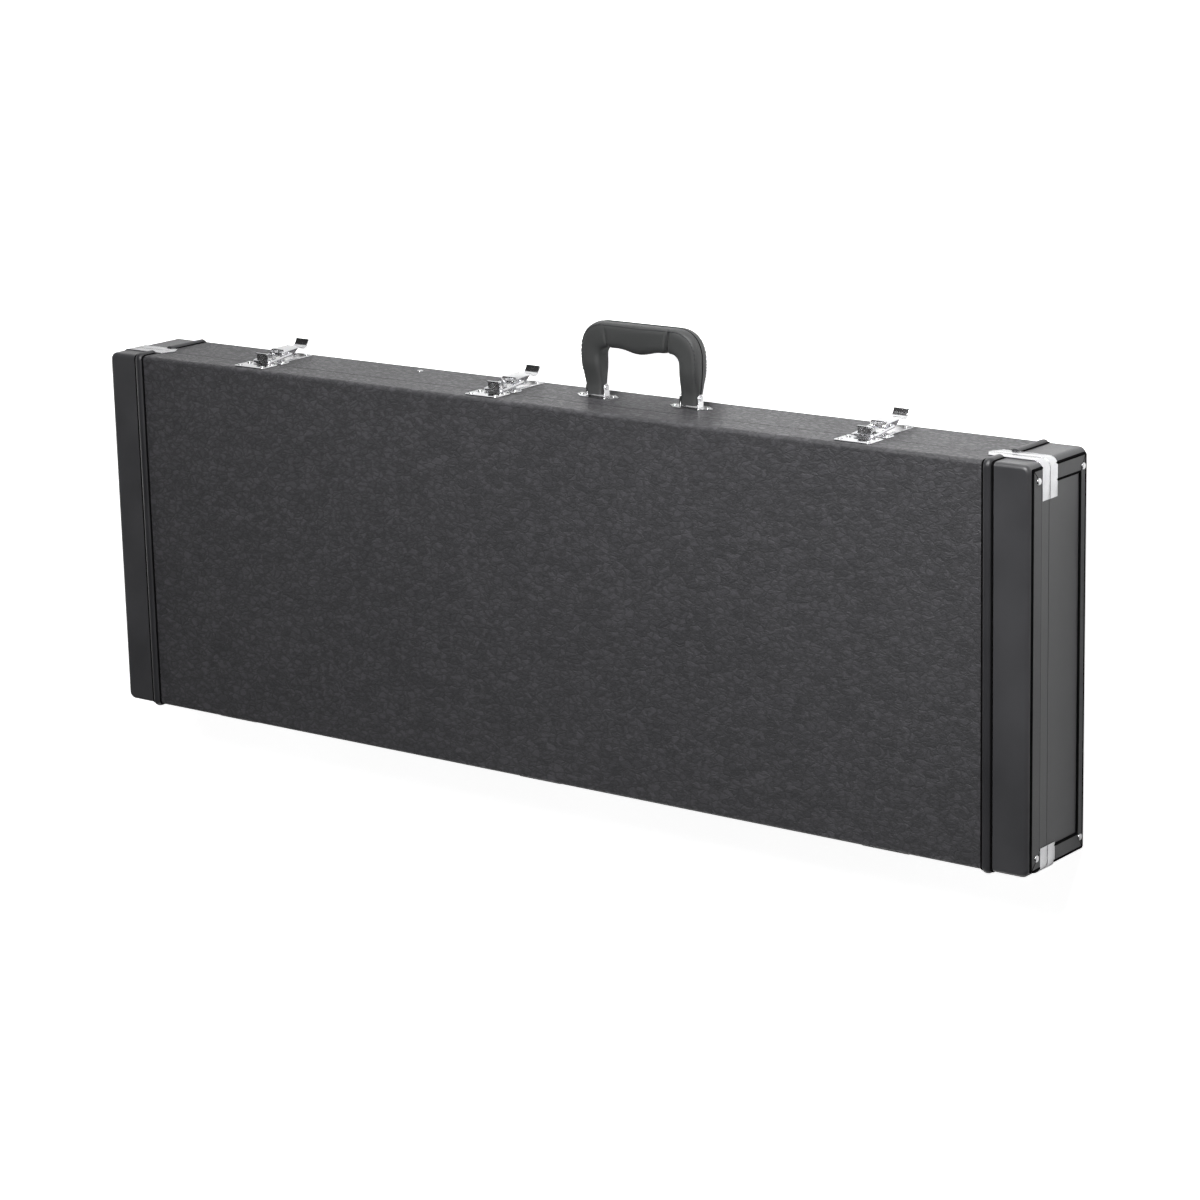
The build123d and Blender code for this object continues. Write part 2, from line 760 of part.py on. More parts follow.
with BuildPart() as handle_rivets:
    for u in leg_offsets:
        for end in (-1, 1):
            place = handle_x + u + end * plate_rivet_from_middle
            add(rivet(latch_side(place, handle_z, sheet), plate_rivet_radius, latch_rivet_height))
save(handle_rivets, "handle_rivets")

# Handle: a moulded grip with finger waves under it, cut to its side profile and rounded
handle_plane = Plane(origin=(handle_x, -side_face, handle_z), x_dir=(1, 0, 0), z_dir=(0, 0, -1))
foot_outer = foot_spacing / 2 + foot_width / 2
foot_inner = foot_spacing / 2 - foot_width / 2
foot_end = handle_pivot_out - foot_half_thickness
foot_straight = handle_pivot_out + handle_ear_radius + foot_collar
grip_under = handle_reach - grip_depth
inner_half = handle_widest / 2 - leg_width_top
with BuildPart() as handle_grip:
    with BuildSketch(handle_plane):
        with BuildLine():
            Polyline((-foot_outer, foot_end), (-foot_outer, foot_straight), (-handle_widest / 2, handle_widest_out))
            Spline(
                (-handle_widest / 2, handle_widest_out),
                (-handle_top_width / 2, handle_reach),
                tangents=((0, 1), (1, 0)),
                tangent_scalars=(shoulder_pull, shoulder_pull),
            )
            Line((-handle_top_width / 2, handle_reach), (handle_top_width / 2, handle_reach))
            Spline(
                (handle_top_width / 2, handle_reach),
                (handle_widest / 2, handle_widest_out),
                tangents=((1, 0), (0, -1)),
                tangent_scalars=(shoulder_pull, shoulder_pull),
            )
            Polyline((handle_widest / 2, handle_widest_out), (foot_outer, foot_straight), (foot_outer, foot_end))
            Line((foot_outer, foot_end), (foot_inner, foot_end))
            Line((foot_inner, foot_end), (inner_half, grip_under - inner_turn))
            Spline(
                (inner_half, grip_under - inner_turn),
                (inner_half - inner_turn, grip_under),
                (inner_half / 2, grip_under + grip_hollow),
                (0, grip_under - grip_bump),
                (-inner_half / 2, grip_under + grip_hollow),
                (inner_turn - inner_half, grip_under),
                (-inner_half, grip_under - inner_turn),
                tangents=((0, 1), (0, -1)),
            )
            Line((-inner_half, grip_under - inner_turn), (-foot_inner, foot_end))
            Line((-foot_inner, foot_end), (-foot_outer, foot_end))
        make_face()
    extrude(amount=grip_half_thickness, both=True)
    rims = handle_grip.faces().filter_by(Axis.Z).edges()
    chamfer(rims, handle_rounding)
    with BuildSketch(across(handle_x - handle_widest)):
        with BuildLine():
            Polyline(
                outboard(handle_reach, handle_z + grip_half_thickness),
                outboard(grip_under - thin_from, handle_z + grip_half_thickness),
                outboard(handle_pivot_out, handle_z + foot_half_thickness),
                outboard(foot_end, handle_z + foot_tip_half),
                outboard(foot_end, handle_z - foot_tip_half),
                outboard(handle_pivot_out, handle_z - foot_half_thickness),
                outboard(grip_under - thin_from, handle_z - grip_half_thickness),
                outboard(handle_reach, handle_z - grip_half_thickness),
                close=True,
            )
        make_face()
    extrude(amount=2 * handle_widest, mode=Mode.INTERSECT)
    with BuildSketch(across(handle_x - handle_widest)):
        with Locations(outboard(handle_pivot_out, handle_z)):
            Circle(handle_pin_radius + fit)
    extrude(amount=2 * handle_widest, mode=Mode.SUBTRACT)
save(handle_grip, "handle_grip")

# Hinges: base leaf with two outer knuckles, lid leaf with the middle one, and a pin
middle_half = knuckle_length / 2
for number, x in enumerate(hinge_stations, 1):
    with BuildPart() as base_leaf:
        with BuildSketch(hinge_side(x, hinge_z - hinge_leaf_margin - hinge_leaf / 2)):
            RectangleRounded(hinge_width, hinge_leaf, 2 * sheet)
        extrude(amount=sheet)
        for start in (x - middle_half - knuckle_gap - knuckle_length, x + middle_half + knuckle_gap):
            with BuildSketch(across(start)):
                with Locations((side_face + hinge_axis_out, hinge_z)):
                    Circle(knuckle_radius)
                with Locations((side_face + hinge_axis_out / 2, hinge_z - hinge_leaf_margin / 2 - sheet)):
                    Rectangle(hinge_axis_out, hinge_leaf_margin + 2 * sheet)
                with Locations((side_face + hinge_axis_out, hinge_z)):
                    Circle(hinge_pin_radius, mode=Mode.SUBTRACT)
            extrude(amount=knuckle_length)
    save(base_leaf, f"hinge_base_leaf_{number}")
    with BuildPart() as lid_leaf:
        with BuildSketch(hinge_side(x, hinge_z + hinge_leaf_margin + (hinge_leaf - sheet) / 2)):
            RectangleRounded(hinge_width, hinge_leaf - sheet, 2 * sheet)
        extrude(amount=sheet)
        with BuildSketch(across(x - middle_half)):
            with Locations((side_face + hinge_axis_out, hinge_z)):
                Circle(knuckle_radius)
            with Locations((side_face + hinge_axis_out / 2, hinge_z + hinge_leaf_margin / 2 + sheet)):
                Rectangle(hinge_axis_out, hinge_leaf_margin + 2 * sheet)
            with Locations((side_face + hinge_axis_out, hinge_z)):
                Circle(hinge_pin_radius + fit, mode=Mode.SUBTRACT)
        extrude(amount=knuckle_length)
    save(lid_leaf, f"hinge_lid_leaf_{number}")

with BuildPart() as hinge_pins:
    for x in hinge_stations:
        pin_length = 3 * knuckle_length + 2 * knuckle_gap + 2 * hinge_pin_end
        with BuildSketch(across(x - pin_length / 2)):
            with Locations((side_face + hinge_axis_out, hinge_z)):
                Circle(hinge_pin_radius)
        extrude(amount=pin_length)
save(hinge_pins, "hinge_pins")

for label, z in (
    ("hinge_base_rivets", hinge_z - hinge_leaf_margin - base_rivet_drop),
    ("hinge_lid_rivets", hinge_z + hinge_leaf_margin + lid_rivet_rise),
):
    with BuildPart() as hinge_rivets:
        for x in hinge_stations:
            with Locations(hinge_side(x, z, sheet)):
                with GridLocations(hinge_rivet_spread, 1, 3, 1):
                    add(rivet(Plane.XY, hinge_rivet_radius, latch_rivet_height))
    save(hinge_rivets, label)

# Dome feet that it stands on when it is put down on its hinge side
with BuildPart() as feet:
    for x in (-outer_foot, -inner_foot, inner_foot, outer_foot):
        add(dome(hinge_side(x, foot_z), foot_radius, foot_height))
save(feet, "feet")
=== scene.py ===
import math
import bpy
import bmesh
from mathutils import Vector, Matrix, noise


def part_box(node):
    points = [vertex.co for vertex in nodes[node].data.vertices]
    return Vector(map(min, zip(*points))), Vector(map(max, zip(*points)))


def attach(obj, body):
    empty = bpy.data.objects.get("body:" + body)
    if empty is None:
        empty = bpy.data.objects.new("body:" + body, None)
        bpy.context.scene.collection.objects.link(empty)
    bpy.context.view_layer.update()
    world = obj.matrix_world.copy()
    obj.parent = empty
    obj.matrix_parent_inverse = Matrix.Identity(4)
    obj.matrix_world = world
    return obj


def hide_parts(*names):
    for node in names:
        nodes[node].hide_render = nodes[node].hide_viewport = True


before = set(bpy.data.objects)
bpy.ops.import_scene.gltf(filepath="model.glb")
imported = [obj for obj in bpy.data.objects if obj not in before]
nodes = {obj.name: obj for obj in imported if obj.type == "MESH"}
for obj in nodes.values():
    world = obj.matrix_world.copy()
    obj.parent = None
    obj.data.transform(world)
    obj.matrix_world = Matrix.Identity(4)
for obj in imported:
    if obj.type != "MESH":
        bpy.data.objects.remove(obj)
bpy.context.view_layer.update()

print("frame loaded:", len(nodes), "nodes")

# Camera: the photograph shows the case stood on its hinge side, so the picture's up is -Y here
view = {
    "place": (-2.0104, -0.8018, 2.6090),
    "aim": (-0.0547, -0.0007, 0.0950),
    "roll": 1.44,  # degrees
    "lens": 108.75,  # mm on a 36 mm sensor
    "shift": (0.0179, 0.0013),
}


def makeCamera():
    cameraData = bpy.data.cameras.new("camera")
    cameraData.lens = view["lens"]
    cameraData.sensor_width = 36
    cameraData.shift_x, cameraData.shift_y = view["shift"]
    cameraData.clip_end = 30
    camera = bpy.data.objects.new("camera", cameraData)
    bpy.context.collection.objects.link(camera)
    place = Vector(view["place"])
    ahead = (Vector(view["aim"]) - place).normalized()
    right = ahead.cross(Vector((0, -1, 0))).normalized()
    up = right.cross(ahead)
    turn = Matrix.Rotation(math.radians(view["roll"]), 3, ahead)
    right, up = turn @ right, turn @ up
    basis = Matrix((right, up, -ahead)).transposed().to_4x4()
    camera.matrix_world = Matrix.Translation(place) @ basis
    bpy.context.scene.camera = camera


makeCamera()
bpy.context.scene.view_settings.view_transform = "Standard"
print("camera placed")


# Node helpers
def newMaterial(name):
    material = bpy.data.materials.new(name)
    material.use_nodes = True
    tree = material.node_tree
    shader = tree.nodes["Principled BSDF"]
    return material, tree, shader


def addNode(tree, kind, **values):
    node = tree.nodes.new(kind)
    for key, value in values.items():
        setattr(node, key, value)
    return node


def newGroup(name, inputs, outputs):
    group = bpy.data.node_groups.new(name, "ShaderNodeTree")
    for label, kind, default in inputs:
        socket = group.interface.new_socket(label, in_out="INPUT", socket_type=kind)
        socket.default_value = default
    for label, kind in outputs:
        group.interface.new_socket(label, in_out="OUTPUT", socket_type=kind)
    return group, addNode(group, "NodeGroupInput"), addNode(group, "NodeGroupOutput")


def mathNode(tree, operation, first, second=None, clamp=False):
    node = addNode(tree, "ShaderNodeMath", operation=operation, use_clamp=clamp)
    for socket, value in zip(node.inputs, (first, second)):
        if value is None:
            continue
        if isinstance(value, (int, float)):
            socket.default_value = value
        else:
            tree.links.new(value, socket)
    return node.outputs[0]


# Shader groups used by several materials
grainMix = {
    "cells": 0.34, "cracks": 0.2, "folds": 0.45, "pores": 0.10,  # shares of the height
    "warpScale": 0.7, "crackScale": 2.3, "poreScale": 2600,
    "foldScale": 0.8, "foldTwist": 0.9, "foldGain": 0.55,
    "creaseCells": 0.6, "creaseFolds": 0.4,
}


def wrinkleGroup():
    # Wrinkled leather grain: long cells between creases, warped by noise, plus fine pores
    group, source, result = newGroup(
        "wrinkleGrain",
        [("Cell Size", "NodeSocketFloat", 0.006), ("Stretch", "NodeSocketVector", (0.45, 1, 1)),
         ("Warp", "NodeSocketFloat", 0.35), ("Crease Width", "NodeSocketFloat", 0.16)],
        [("Height", "NodeSocketFloat"), ("Crease", "NodeSocketFloat"), ("Cell Tone", "NodeSocketFloat")])
    links = group.links
    place = addNode(group, "ShaderNodeTexCoord")
    stretched = addNode(group, "ShaderNodeVectorMath", operation="MULTIPLY")
    links.new(place.outputs["Object"], stretched.inputs[0])
    links.new(source.outputs["Stretch"], stretched.inputs[1])
    scale = mathNode(group, "DIVIDE", 1.0, source.outputs["Cell Size"])
    warpNoise = addNode(group, "ShaderNodeTexNoise")
    links.new(stretched.outputs[0], warpNoise.inputs["Vector"])
    links.new(mathNode(group, "MULTIPLY", scale, grainMix["warpScale"]), warpNoise.inputs["Scale"])
    warpNoise.inputs["Detail"].default_value = 3
    centred = addNode(group, "ShaderNodeVectorMath", operation="SUBTRACT")
    links.new(warpNoise.outputs["Color"], centred.inputs[0])
    centred.inputs[1].default_value = (0.5, 0.5, 0.5)
    warpAmount = addNode(group, "ShaderNodeVectorMath", operation="SCALE")
    links.new(centred.outputs[0], warpAmount.inputs[0])
    links.new(mathNode(group, "MULTIPLY", source.outputs["Cell Size"],
                       mathNode(group, "MULTIPLY", source.outputs["Warp"], 4.0)), warpAmount.inputs["Scale"])
    warped = addNode(group, "ShaderNodeVectorMath", operation="ADD")
    links.new(stretched.outputs[0], warped.inputs[0])
    links.new(warpAmount.outputs[0], warped.inputs[1])
    cells = addNode(group, "ShaderNodeTexVoronoi", feature="DISTANCE_TO_EDGE")
    links.new(warped.outputs[0], cells.inputs["Vector"])
    links.new(scale, cells.inputs["Scale"])
    small = addNode(group, "ShaderNodeTexVoronoi", feature="DISTANCE_TO_EDGE")
    links.new(warped.outputs[0], small.inputs["Vector"])
    links.new(mathNode(group, "MULTIPLY", scale, grainMix["crackScale"]), small.inputs["Scale"])
    tone = addNode(group, "ShaderNodeTexVoronoi", feature="F1")
    links.new(warped.outputs[0], tone.inputs["Vector"])
    links.new(scale, tone.inputs["Scale"])
    large = mathNode(group, "DIVIDE", cells.outputs["Distance"], source.outputs["Crease Width"], clamp=True)
    fine = mathNode(group, "DIVIDE", small.outputs["Distance"], source.outputs["Crease Width"], clamp=True)
    pores = addNode(group, "ShaderNodeTexNoise")
    links.new(place.outputs["Object"], pores.inputs["Vector"])
    pores.inputs["Scale"].default_value = grainMix["poreScale"]
    pores.inputs["Detail"].default_value = 2
    folds = addNode(group, "ShaderNodeTexNoise", noise_type="RIDGED_MULTIFRACTAL")
    links.new(stretched.outputs[0], folds.inputs["Vector"])
    links.new(mathNode(group, "MULTIPLY", scale, grainMix["foldScale"]), folds.inputs["Scale"])
    folds.inputs["Detail"].default_value = 3
    folds.inputs["Distortion"].default_value = grainMix["foldTwist"]
    ridge = mathNode(group, "MULTIPLY", folds.outputs["Fac"], grainMix["foldGain"], clamp=True)
    height = mathNode(group, "MULTIPLY", large, grainMix["cells"])
    height = mathNode(group, "ADD", height, mathNode(group, "MULTIPLY", fine, grainMix["cracks"]))
    height = mathNode(group, "ADD", height, mathNode(group, "MULTIPLY", ridge, grainMix["folds"]))
    poreHeight = mathNode(group, "MULTIPLY", pores.outputs["Fac"], grainMix["pores"])
    height = mathNode(group, "ADD", height, poreHeight)
    links.new(height, result.inputs["Height"])
    crease = mathNode(group, "SUBTRACT", 1.0, mathNode(group, "MULTIPLY", large, grainMix["creaseCells"]))
    foldShade = mathNode(group, "MULTIPLY", ridge, grainMix["creaseFolds"])
    crease = mathNode(group, "SUBTRACT", crease, foldShade, clamp=True)
    links.new(crease, result.inputs["Crease"])
    links.new(firstChannel(group, tone), result.inputs["Cell Tone"])
    return group


def firstChannel(tree, voronoi):
    split = addNode(tree, "ShaderNodeSeparateColor")
    tree.links.new(voronoi.outputs["Color"], split.inputs[0])
    return split.outputs[0]


def smudgeGroup():
    # Broad soft patches of handling: a mask from 0 to 1 that moves roughness and colour a little
    group, source, result = newGroup(
        "handlingSmudge",
        [("Patch Size", "NodeSocketFloat", 0.08), ("Contrast", "NodeSocketFloat", 0.5)],
        [("Mask", "NodeSocketFloat"), ("Fine", "NodeSocketFloat")])
    place = addNode(group, "ShaderNodeTexCoord")
    patches = addNode(group, "ShaderNodeTexNoise")
    group.links.new(place.outputs["Object"], patches.inputs["Vector"])
    group.links.new(mathNode(group, "DIVIDE", 1.0, source.outputs["Patch Size"]), patches.inputs["Scale"])
    patches.inputs["Detail"].default_value = 5
    centred = mathNode(group, "SUBTRACT", patches.outputs["Fac"], 0.5)
    gain = mathNode(group, "MULTIPLY", source.outputs["Contrast"], 4.0)
    spread = mathNode(group, "MULTIPLY", centred, gain)
    group.links.new(mathNode(group, "ADD", spread, 0.5, clamp=True), result.inputs["Mask"])
    fine = addNode(group, "ShaderNodeTexNoise")
    group.links.new(place.outputs["Object"], fine.inputs["Vector"])
    fine.inputs["Scale"].default_value = 900
    fine.inputs["Detail"].default_value = 3
    group.links.new(fine.outputs["Fac"], result.inputs["Fine"])
    return group


def scratchGroup():
    # Hair scratches and small pits on plated metal
    group, source, result = newGroup(
        "platingWear",
        [("Scale", "NodeSocketFloat", 160.0), ("Pits", "NodeSocketFloat", 0.3)],
        [("Height", "NodeSocketFloat"), ("Dullness", "NodeSocketFloat")])
    place = addNode(group, "ShaderNodeTexCoord")
    squeeze = addNode(group, "ShaderNodeMapping")
    squeeze.inputs["Scale"].default_value = (1, 14, 1)
    group.links.new(place.outputs["Object"], squeeze.inputs["Vector"])
    hairs = addNode(group, "ShaderNodeTexNoise")
    group.links.new(squeeze.outputs[0], hairs.inputs["Vector"])
    group.links.new(source.outputs["Scale"], hairs.inputs["Scale"])
    hairs.inputs["Detail"].default_value = 4
    pits = addNode(group, "ShaderNodeTexNoise")
    group.links.new(place.outputs["Object"], pits.inputs["Vector"])
    pits.inputs["Scale"].default_value = 1400
    both = mathNode(group, "ADD", mathNode(group, "MULTIPLY", hairs.outputs["Fac"], 0.7),
                    mathNode(group, "MULTIPLY", pits.outputs["Fac"], source.outputs["Pits"]))
    group.links.new(both, result.inputs["Height"])
    cloud = addNode(group, "ShaderNodeTexNoise")
    group.links.new(place.outputs["Object"], cloud.inputs["Vector"])
    cloud.inputs["Scale"].default_value = 70
    cloud.inputs["Detail"].default_value = 5
    group.links.new(cloud.outputs["Fac"], result.inputs["Dullness"])
    return group


wrinkle = wrinkleGroup()
smudge = smudgeGroup()
plating = scratchGroup()


def placeGroup(tree, group, **values):
    node = addNode(tree, "ShaderNodeGroup", node_tree=group)
    for key, value in values.items():
        node.inputs[key.replace("_", " ")].default_value = value
    return node


def addBump(tree, shader, height, strength, distance):
    bump = addNode(tree, "ShaderNodeBump")
    bump.inputs["Strength"].default_value = strength
    bump.inputs["Distance"].default_value = distance
    tree.links.new(height, bump.inputs["Height"])
    tree.links.new(bump.outputs["Normal"], shader.inputs["Normal"])


def mixColour(tree, factor, first, second):
    mix = addNode(tree, "ShaderNodeMix", data_type="RGBA")
    for index, value in ((0, factor), (6, first), (7, second)):
        if isinstance(value, (int, float, tuple)):
            mix.inputs[index].default_value = value if isinstance(value, (int, float)) else (*value, 1)
        else:
            tree.links.new(value, mix.inputs[index])
    return mix.outputs[2]


vinyl = {
    "grainColour": (0.044, 0.0435, 0.0475),
    "grainHigh": (0.072, 0.070, 0.077),
    "bandColour": (0.034, 0.034, 0.0365),
    "creaseShade": (0.012, 0.012, 0.013),
    "cellSize": 0.0052,
    "stretch": (0.62, 1, 1),
    "warp": 0.5,
    "creaseWidth": 0.26,
    "grainDepth": 0.00052,
    "roughness": 0.36,
    "bandRoughness": 0.33,
    "sheen": 0.17,
    "sheenRoughness": 0.24,
}


def grainedVinyl():
    material, tree, shader = newMaterial("grained_vinyl_dressed")
    grain = placeGroup(tree, wrinkle, Cell_Size=vinyl["cellSize"], Warp=vinyl["warp"],
                       Crease_Width=vinyl["creaseWidth"], Stretch=vinyl["stretch"])
    hands = placeGroup(tree, smudge, Patch_Size=0.16, Contrast=0.5)
    tone = mixColour(tree, grain.outputs["Cell Tone"], vinyl["grainColour"], vinyl["grainHigh"])
    # Painted shade: the grain's creases are darkened towards a near-black colour
    shade = mathNode(tree, "MULTIPLY", grain.outputs["Crease"], 0.7)
    dark = mixColour(tree, shade, tone, vinyl["creaseShade"])
    tree.links.new(dark, shader.inputs["Base Color"])
    rough = mathNode(tree, "ADD", vinyl["roughness"], mathNode(tree, "MULTIPLY", hands.outputs["Mask"], 0.10))
    rough = mathNode(tree, "ADD", rough, mathNode(tree, "MULTIPLY", grain.outputs["Crease"], 0.25))
    tree.links.new(rough, shader.inputs["Roughness"])
    addCoat(tree, shader, grain.outputs["Height"], vinyl["grainDepth"] * 0.35)
    addBump(tree, shader, grain.outputs["Height"], 1.0, vinyl["grainDepth"])
    return material


def addCoat(tree, shader, height, distance):
    # The vinyl's clear skin, glossy at a low angle, over a softened copy of the grain
    shader.inputs["Coat Weight"].default_value = vinyl["sheen"]
    shader.inputs["Coat Roughness"].default_value = vinyl["sheenRoughness"]
    bump = addNode(tree, "ShaderNodeBump")
    bump.inputs["Distance"].default_value = distance
    tree.links.new(height, bump.inputs["Height"])
    tree.links.new(bump.outputs["Normal"], shader.inputs["Coat Normal"])


def smoothVinyl(name, colour, roughness, depth=0.00006):
    material, tree, shader = newMaterial(name)
    grain = placeGroup(tree, wrinkle, Cell_Size=0.0013, Warp=0.3, Crease_Width=0.2, Stretch=(1, 1, 1))
    hands = placeGroup(tree, smudge, Patch_Size=0.07, Contrast=0.6)
    lighter = tuple(c * 1.35 for c in colour)
    tree.links.new(mixColour(tree, hands.outputs["Mask"], colour, lighter), shader.inputs["Base Color"])
    rough = mathNode(tree, "ADD", roughness, mathNode(tree, "MULTIPLY", hands.outputs["Mask"], 0.12))
    tree.links.new(rough, shader.inputs["Roughness"])
    addCoat(tree, shader, grain.outputs["Height"], depth * 0.5)
    addBump(tree, shader, grain.outputs["Height"], 1.0, depth)
    return material


metal = {"colour": (0.78, 0.78, 0.79), "dull": (0.55, 0.55, 0.57), "roughness": 0.09, "dents": 14.0}


def platedSteel(name, roughness, colour, depth=0.00002):
    material, tree, shader = newMaterial(name)
    wear = placeGroup(tree, plating, Scale=120.0, Pits=0.4)
    tree.links.new(mixColour(tree, wear.outputs["Dullness"], colour, tuple(c * 0.82 for c in colour)),
                   shader.inputs["Base Color"])
    shader.inputs["Metallic"].default_value = 1.0
    rough = mathNode(tree, "ADD", roughness, mathNode(tree, "MULTIPLY", wear.outputs["Dullness"], 0.16))
    tree.links.new(rough, shader.inputs["Roughness"])
    addBump(tree, shader, wear.outputs["Height"], 0.6, depth)
    return material


def crinkledChrome():
    # Thin bright sheet that has been bent round the corner by hand, so its face is slightly uneven
    material, tree, shader = newMaterial("bracket_chrome")
    wear = placeGroup(tree, plating, Scale=90.0, Pits=0.3)
    dents = addNode(tree, "ShaderNodeTexNoise")
    place = addNode(tree, "ShaderNodeTexCoord")
    tree.links.new(place.outputs["Object"], dents.inputs["Vector"])
    dents.inputs["Scale"].default_value = 130
    dents.inputs["Detail"].default_value = 2
    deep = mathNode(tree, "MULTIPLY", dents.outputs["Fac"], metal["dents"])
    height = mathNode(tree, "ADD", deep, wear.outputs["Height"])
    tree.links.new(mixColour(tree, wear.outputs["Dullness"], metal["colour"], metal["dull"]),
                   shader.inputs["Base Color"])
    shader.inputs["Metallic"].default_value = 1.0
    rough = mathNode(tree, "ADD", 0.14, mathNode(tree, "MULTIPLY", wear.outputs["Dullness"], 0.2))
    tree.links.new(rough, shader.inputs["Roughness"])
    addBump(tree, shader, height, 0.8, 0.00003)
    return material


def makeShadeBlack():
    # Near-black painted shade for the valleys beside the welts and round the end borders, also drawn as the
    # handle's seam line; dull, and darker again in its own grain's creases
    material, tree, shader = newMaterial("shade_and_seam_black")
    grain = placeGroup(tree, wrinkle, Cell_Size=0.0011, Warp=0.3, Crease_Width=0.2, Stretch=(1, 1, 1))
    dark = mixColour(tree, grain.outputs["Crease"], (0.0035, 0.0035, 0.004), (0.0015, 0.0015, 0.0015))
    tree.links.new(dark, shader.inputs["Base Color"])
    shader.inputs["Roughness"].default_value = 0.9
    shader.inputs["Specular IOR Level"].default_value = 0.05
    addBump(tree, shader, grain.outputs["Height"], 0.6, 0.00006)
    return material


def plyWood():
    material, tree, shader = newMaterial("ply_edge")
    place = addNode(tree, "ShaderNodeTexCoord")
    rings = addNode(tree, "ShaderNodeTexWave", wave_type="BANDS", bands_direction="Z")
    rings.inputs["Scale"].default_value = 300
    rings.inputs["Distortion"].default_value = 3
    tree.links.new(place.outputs["Object"], rings.inputs["Vector"])
    tree.links.new(mixColour(tree, rings.outputs["Fac"], (0.30, 0.20, 0.11), (0.52, 0.38, 0.23)),
                   shader.inputs["Base Color"])
    shader.inputs["Roughness"].default_value = 0.75
    addBump(tree, shader, rings.outputs["Fac"], 0.4, 0.0001)
    return material


cloth = {
    "plushColour": (0.012, 0.012, 0.014), "plushTip": (0.05, 0.05, 0.056), "pileDepth": 0.0008,
    "tapeColour": (0.008, 0.008, 0.01), "tapeHigh": (0.045, 0.045, 0.05), "weaveScale": 420,
}


def plushCloth():
    material, tree, shader = newMaterial("plush_dressed")
    place = addNode(tree, "ShaderNodeTexCoord")
    pile = addNode(tree, "ShaderNodeTexNoise")
    pile.inputs["Scale"].default_value = 1500
    pile.inputs["Detail"].default_value = 4
    tree.links.new(place.outputs["Object"], pile.inputs["Vector"])
    brushed = placeGroup(tree, smudge, Patch_Size=0.05, Contrast=0.9)
    lifted = mathNode(tree, "ADD", brushed.outputs["Mask"], 0.35)
    tips = mathNode(tree, "MULTIPLY", pile.outputs["Fac"], lifted)
    colour = mixColour(tree, tips, cloth["plushColour"], cloth["plushTip"])
    tree.links.new(colour, shader.inputs["Base Color"])
    shader.inputs["Roughness"].default_value = 0.95
    shader.inputs["Sheen Weight"].default_value = 0.6
    shader.inputs["Sheen Roughness"].default_value = 0.4
    shader.inputs["Specular IOR Level"].default_value = 0.15
    addBump(tree, shader, pile.outputs["Fac"], 0.8, cloth["pileDepth"])
    return material


def wovenTape():
    material, tree, shader = newMaterial("tape_dressed")
    place = addNode(tree, "ShaderNodeTexCoord")
    warp = addNode(tree, "ShaderNodeTexWave", wave_type="BANDS", bands_direction="X")
    weft = addNode(tree, "ShaderNodeTexWave", wave_type="BANDS", bands_direction="Y")
    for yarn in (warp, weft):
        yarn.inputs["Scale"].default_value = cloth["weaveScale"]
        tree.links.new(place.outputs["Object"], yarn.inputs["Vector"])
    weave = mathNode(tree, "MAXIMUM", warp.outputs["Fac"], weft.outputs["Fac"])
    colour = mixColour(tree, weave, cloth["tapeColour"], cloth["tapeHigh"])
    tree.links.new(colour, shader.inputs["Base Color"])
    shader.inputs["Roughness"].default_value = 0.8
    addBump(tree, shader, weave, 0.7, 0.0003)
    return material


def threadMaterial():
    material, tree, shader = newMaterial("sewing_thread")
    place = addNode(tree, "ShaderNodeTexCoord")
    twist = addNode(tree, "ShaderNodeTexWave", wave_type="BANDS", bands_direction="DIAGONAL")
    twist.inputs["Scale"].default_value = 900
    tree.links.new(place.outputs["Object"], twist.inputs["Vector"])
    tree.links.new(mixColour(tree, twist.outputs["Fac"], (0.006, 0.006, 0.007), (0.03, 0.03, 0.033)),
                   shader.inputs["Base Color"])
    shader.inputs["Roughness"].default_value = 0.6
    addBump(tree, shader, twist.outputs["Fac"], 0.5, 0.0001)
    return material


grained = grainedVinyl()
bandVinyl = smoothVinyl("band_vinyl", vinyl["bandColour"], vinyl["bandRoughness"])
weltVinyl = smoothVinyl("welt_vinyl", (0.016, 0.016, 0.018), 0.42)
trimVinyl = smoothVinyl("trim_vinyl", (0.026, 0.026, 0.028), 0.38)
handleSkin = smoothVinyl("handle_skin_dressed", (0.030, 0.031, 0.031), 0.42, 0.0002)
chrome = platedSteel("chrome_dressed", metal["roughness"], metal["colour"])
wireSteel = platedSteel("wire_steel", 0.16, (0.74, 0.74, 0.76))
hingeSteel = platedSteel("hinge_plating", 0.2, (0.70, 0.70, 0.72))
ply = plyWood()
plush = plushCloth()
tape = wovenTape()
thread = threadMaterial()
shadeAndSeamBlack = makeShadeBlack()
bracketChrome = crinkledChrome()
print("materials made")


def setMaterial(obj, material):
    for held in obj.material_slots:
        held.material = material
    if not obj.material_slots:
        obj.data.materials.append(material)


finishes = {
    "base_shell": ply, "lid_shell": ply, "base_covering": grained, "lid_covering": grained,
    "rim_lip": plush, "lever_pins": wireSteel, "hinge_pins": wireSteel, "handle_pins": wireSteel,
    "wall_rivet": chrome, "feet": chrome,
}
metalNames = ("catch", "latch", "handle", "base_corner", "lid_corner", "base_trim", "lid_trim")
for name, node in nodes.items():
    finish = finishes.get(name)
    if finish is None:
        if "end_band" in name:
            finish = bandVinyl
        elif "welts" in name:
            finish = weltVinyl
        elif "end_trim" in name:
            finish = trimVinyl
        elif "bail" in name:
            finish = wireSteel
        elif name.startswith("hinge"):
            finish = hingeSteel
        elif name.startswith(metalNames):
            finish = chrome
        else:
            finish = plush
    setMaterial(node, finish)


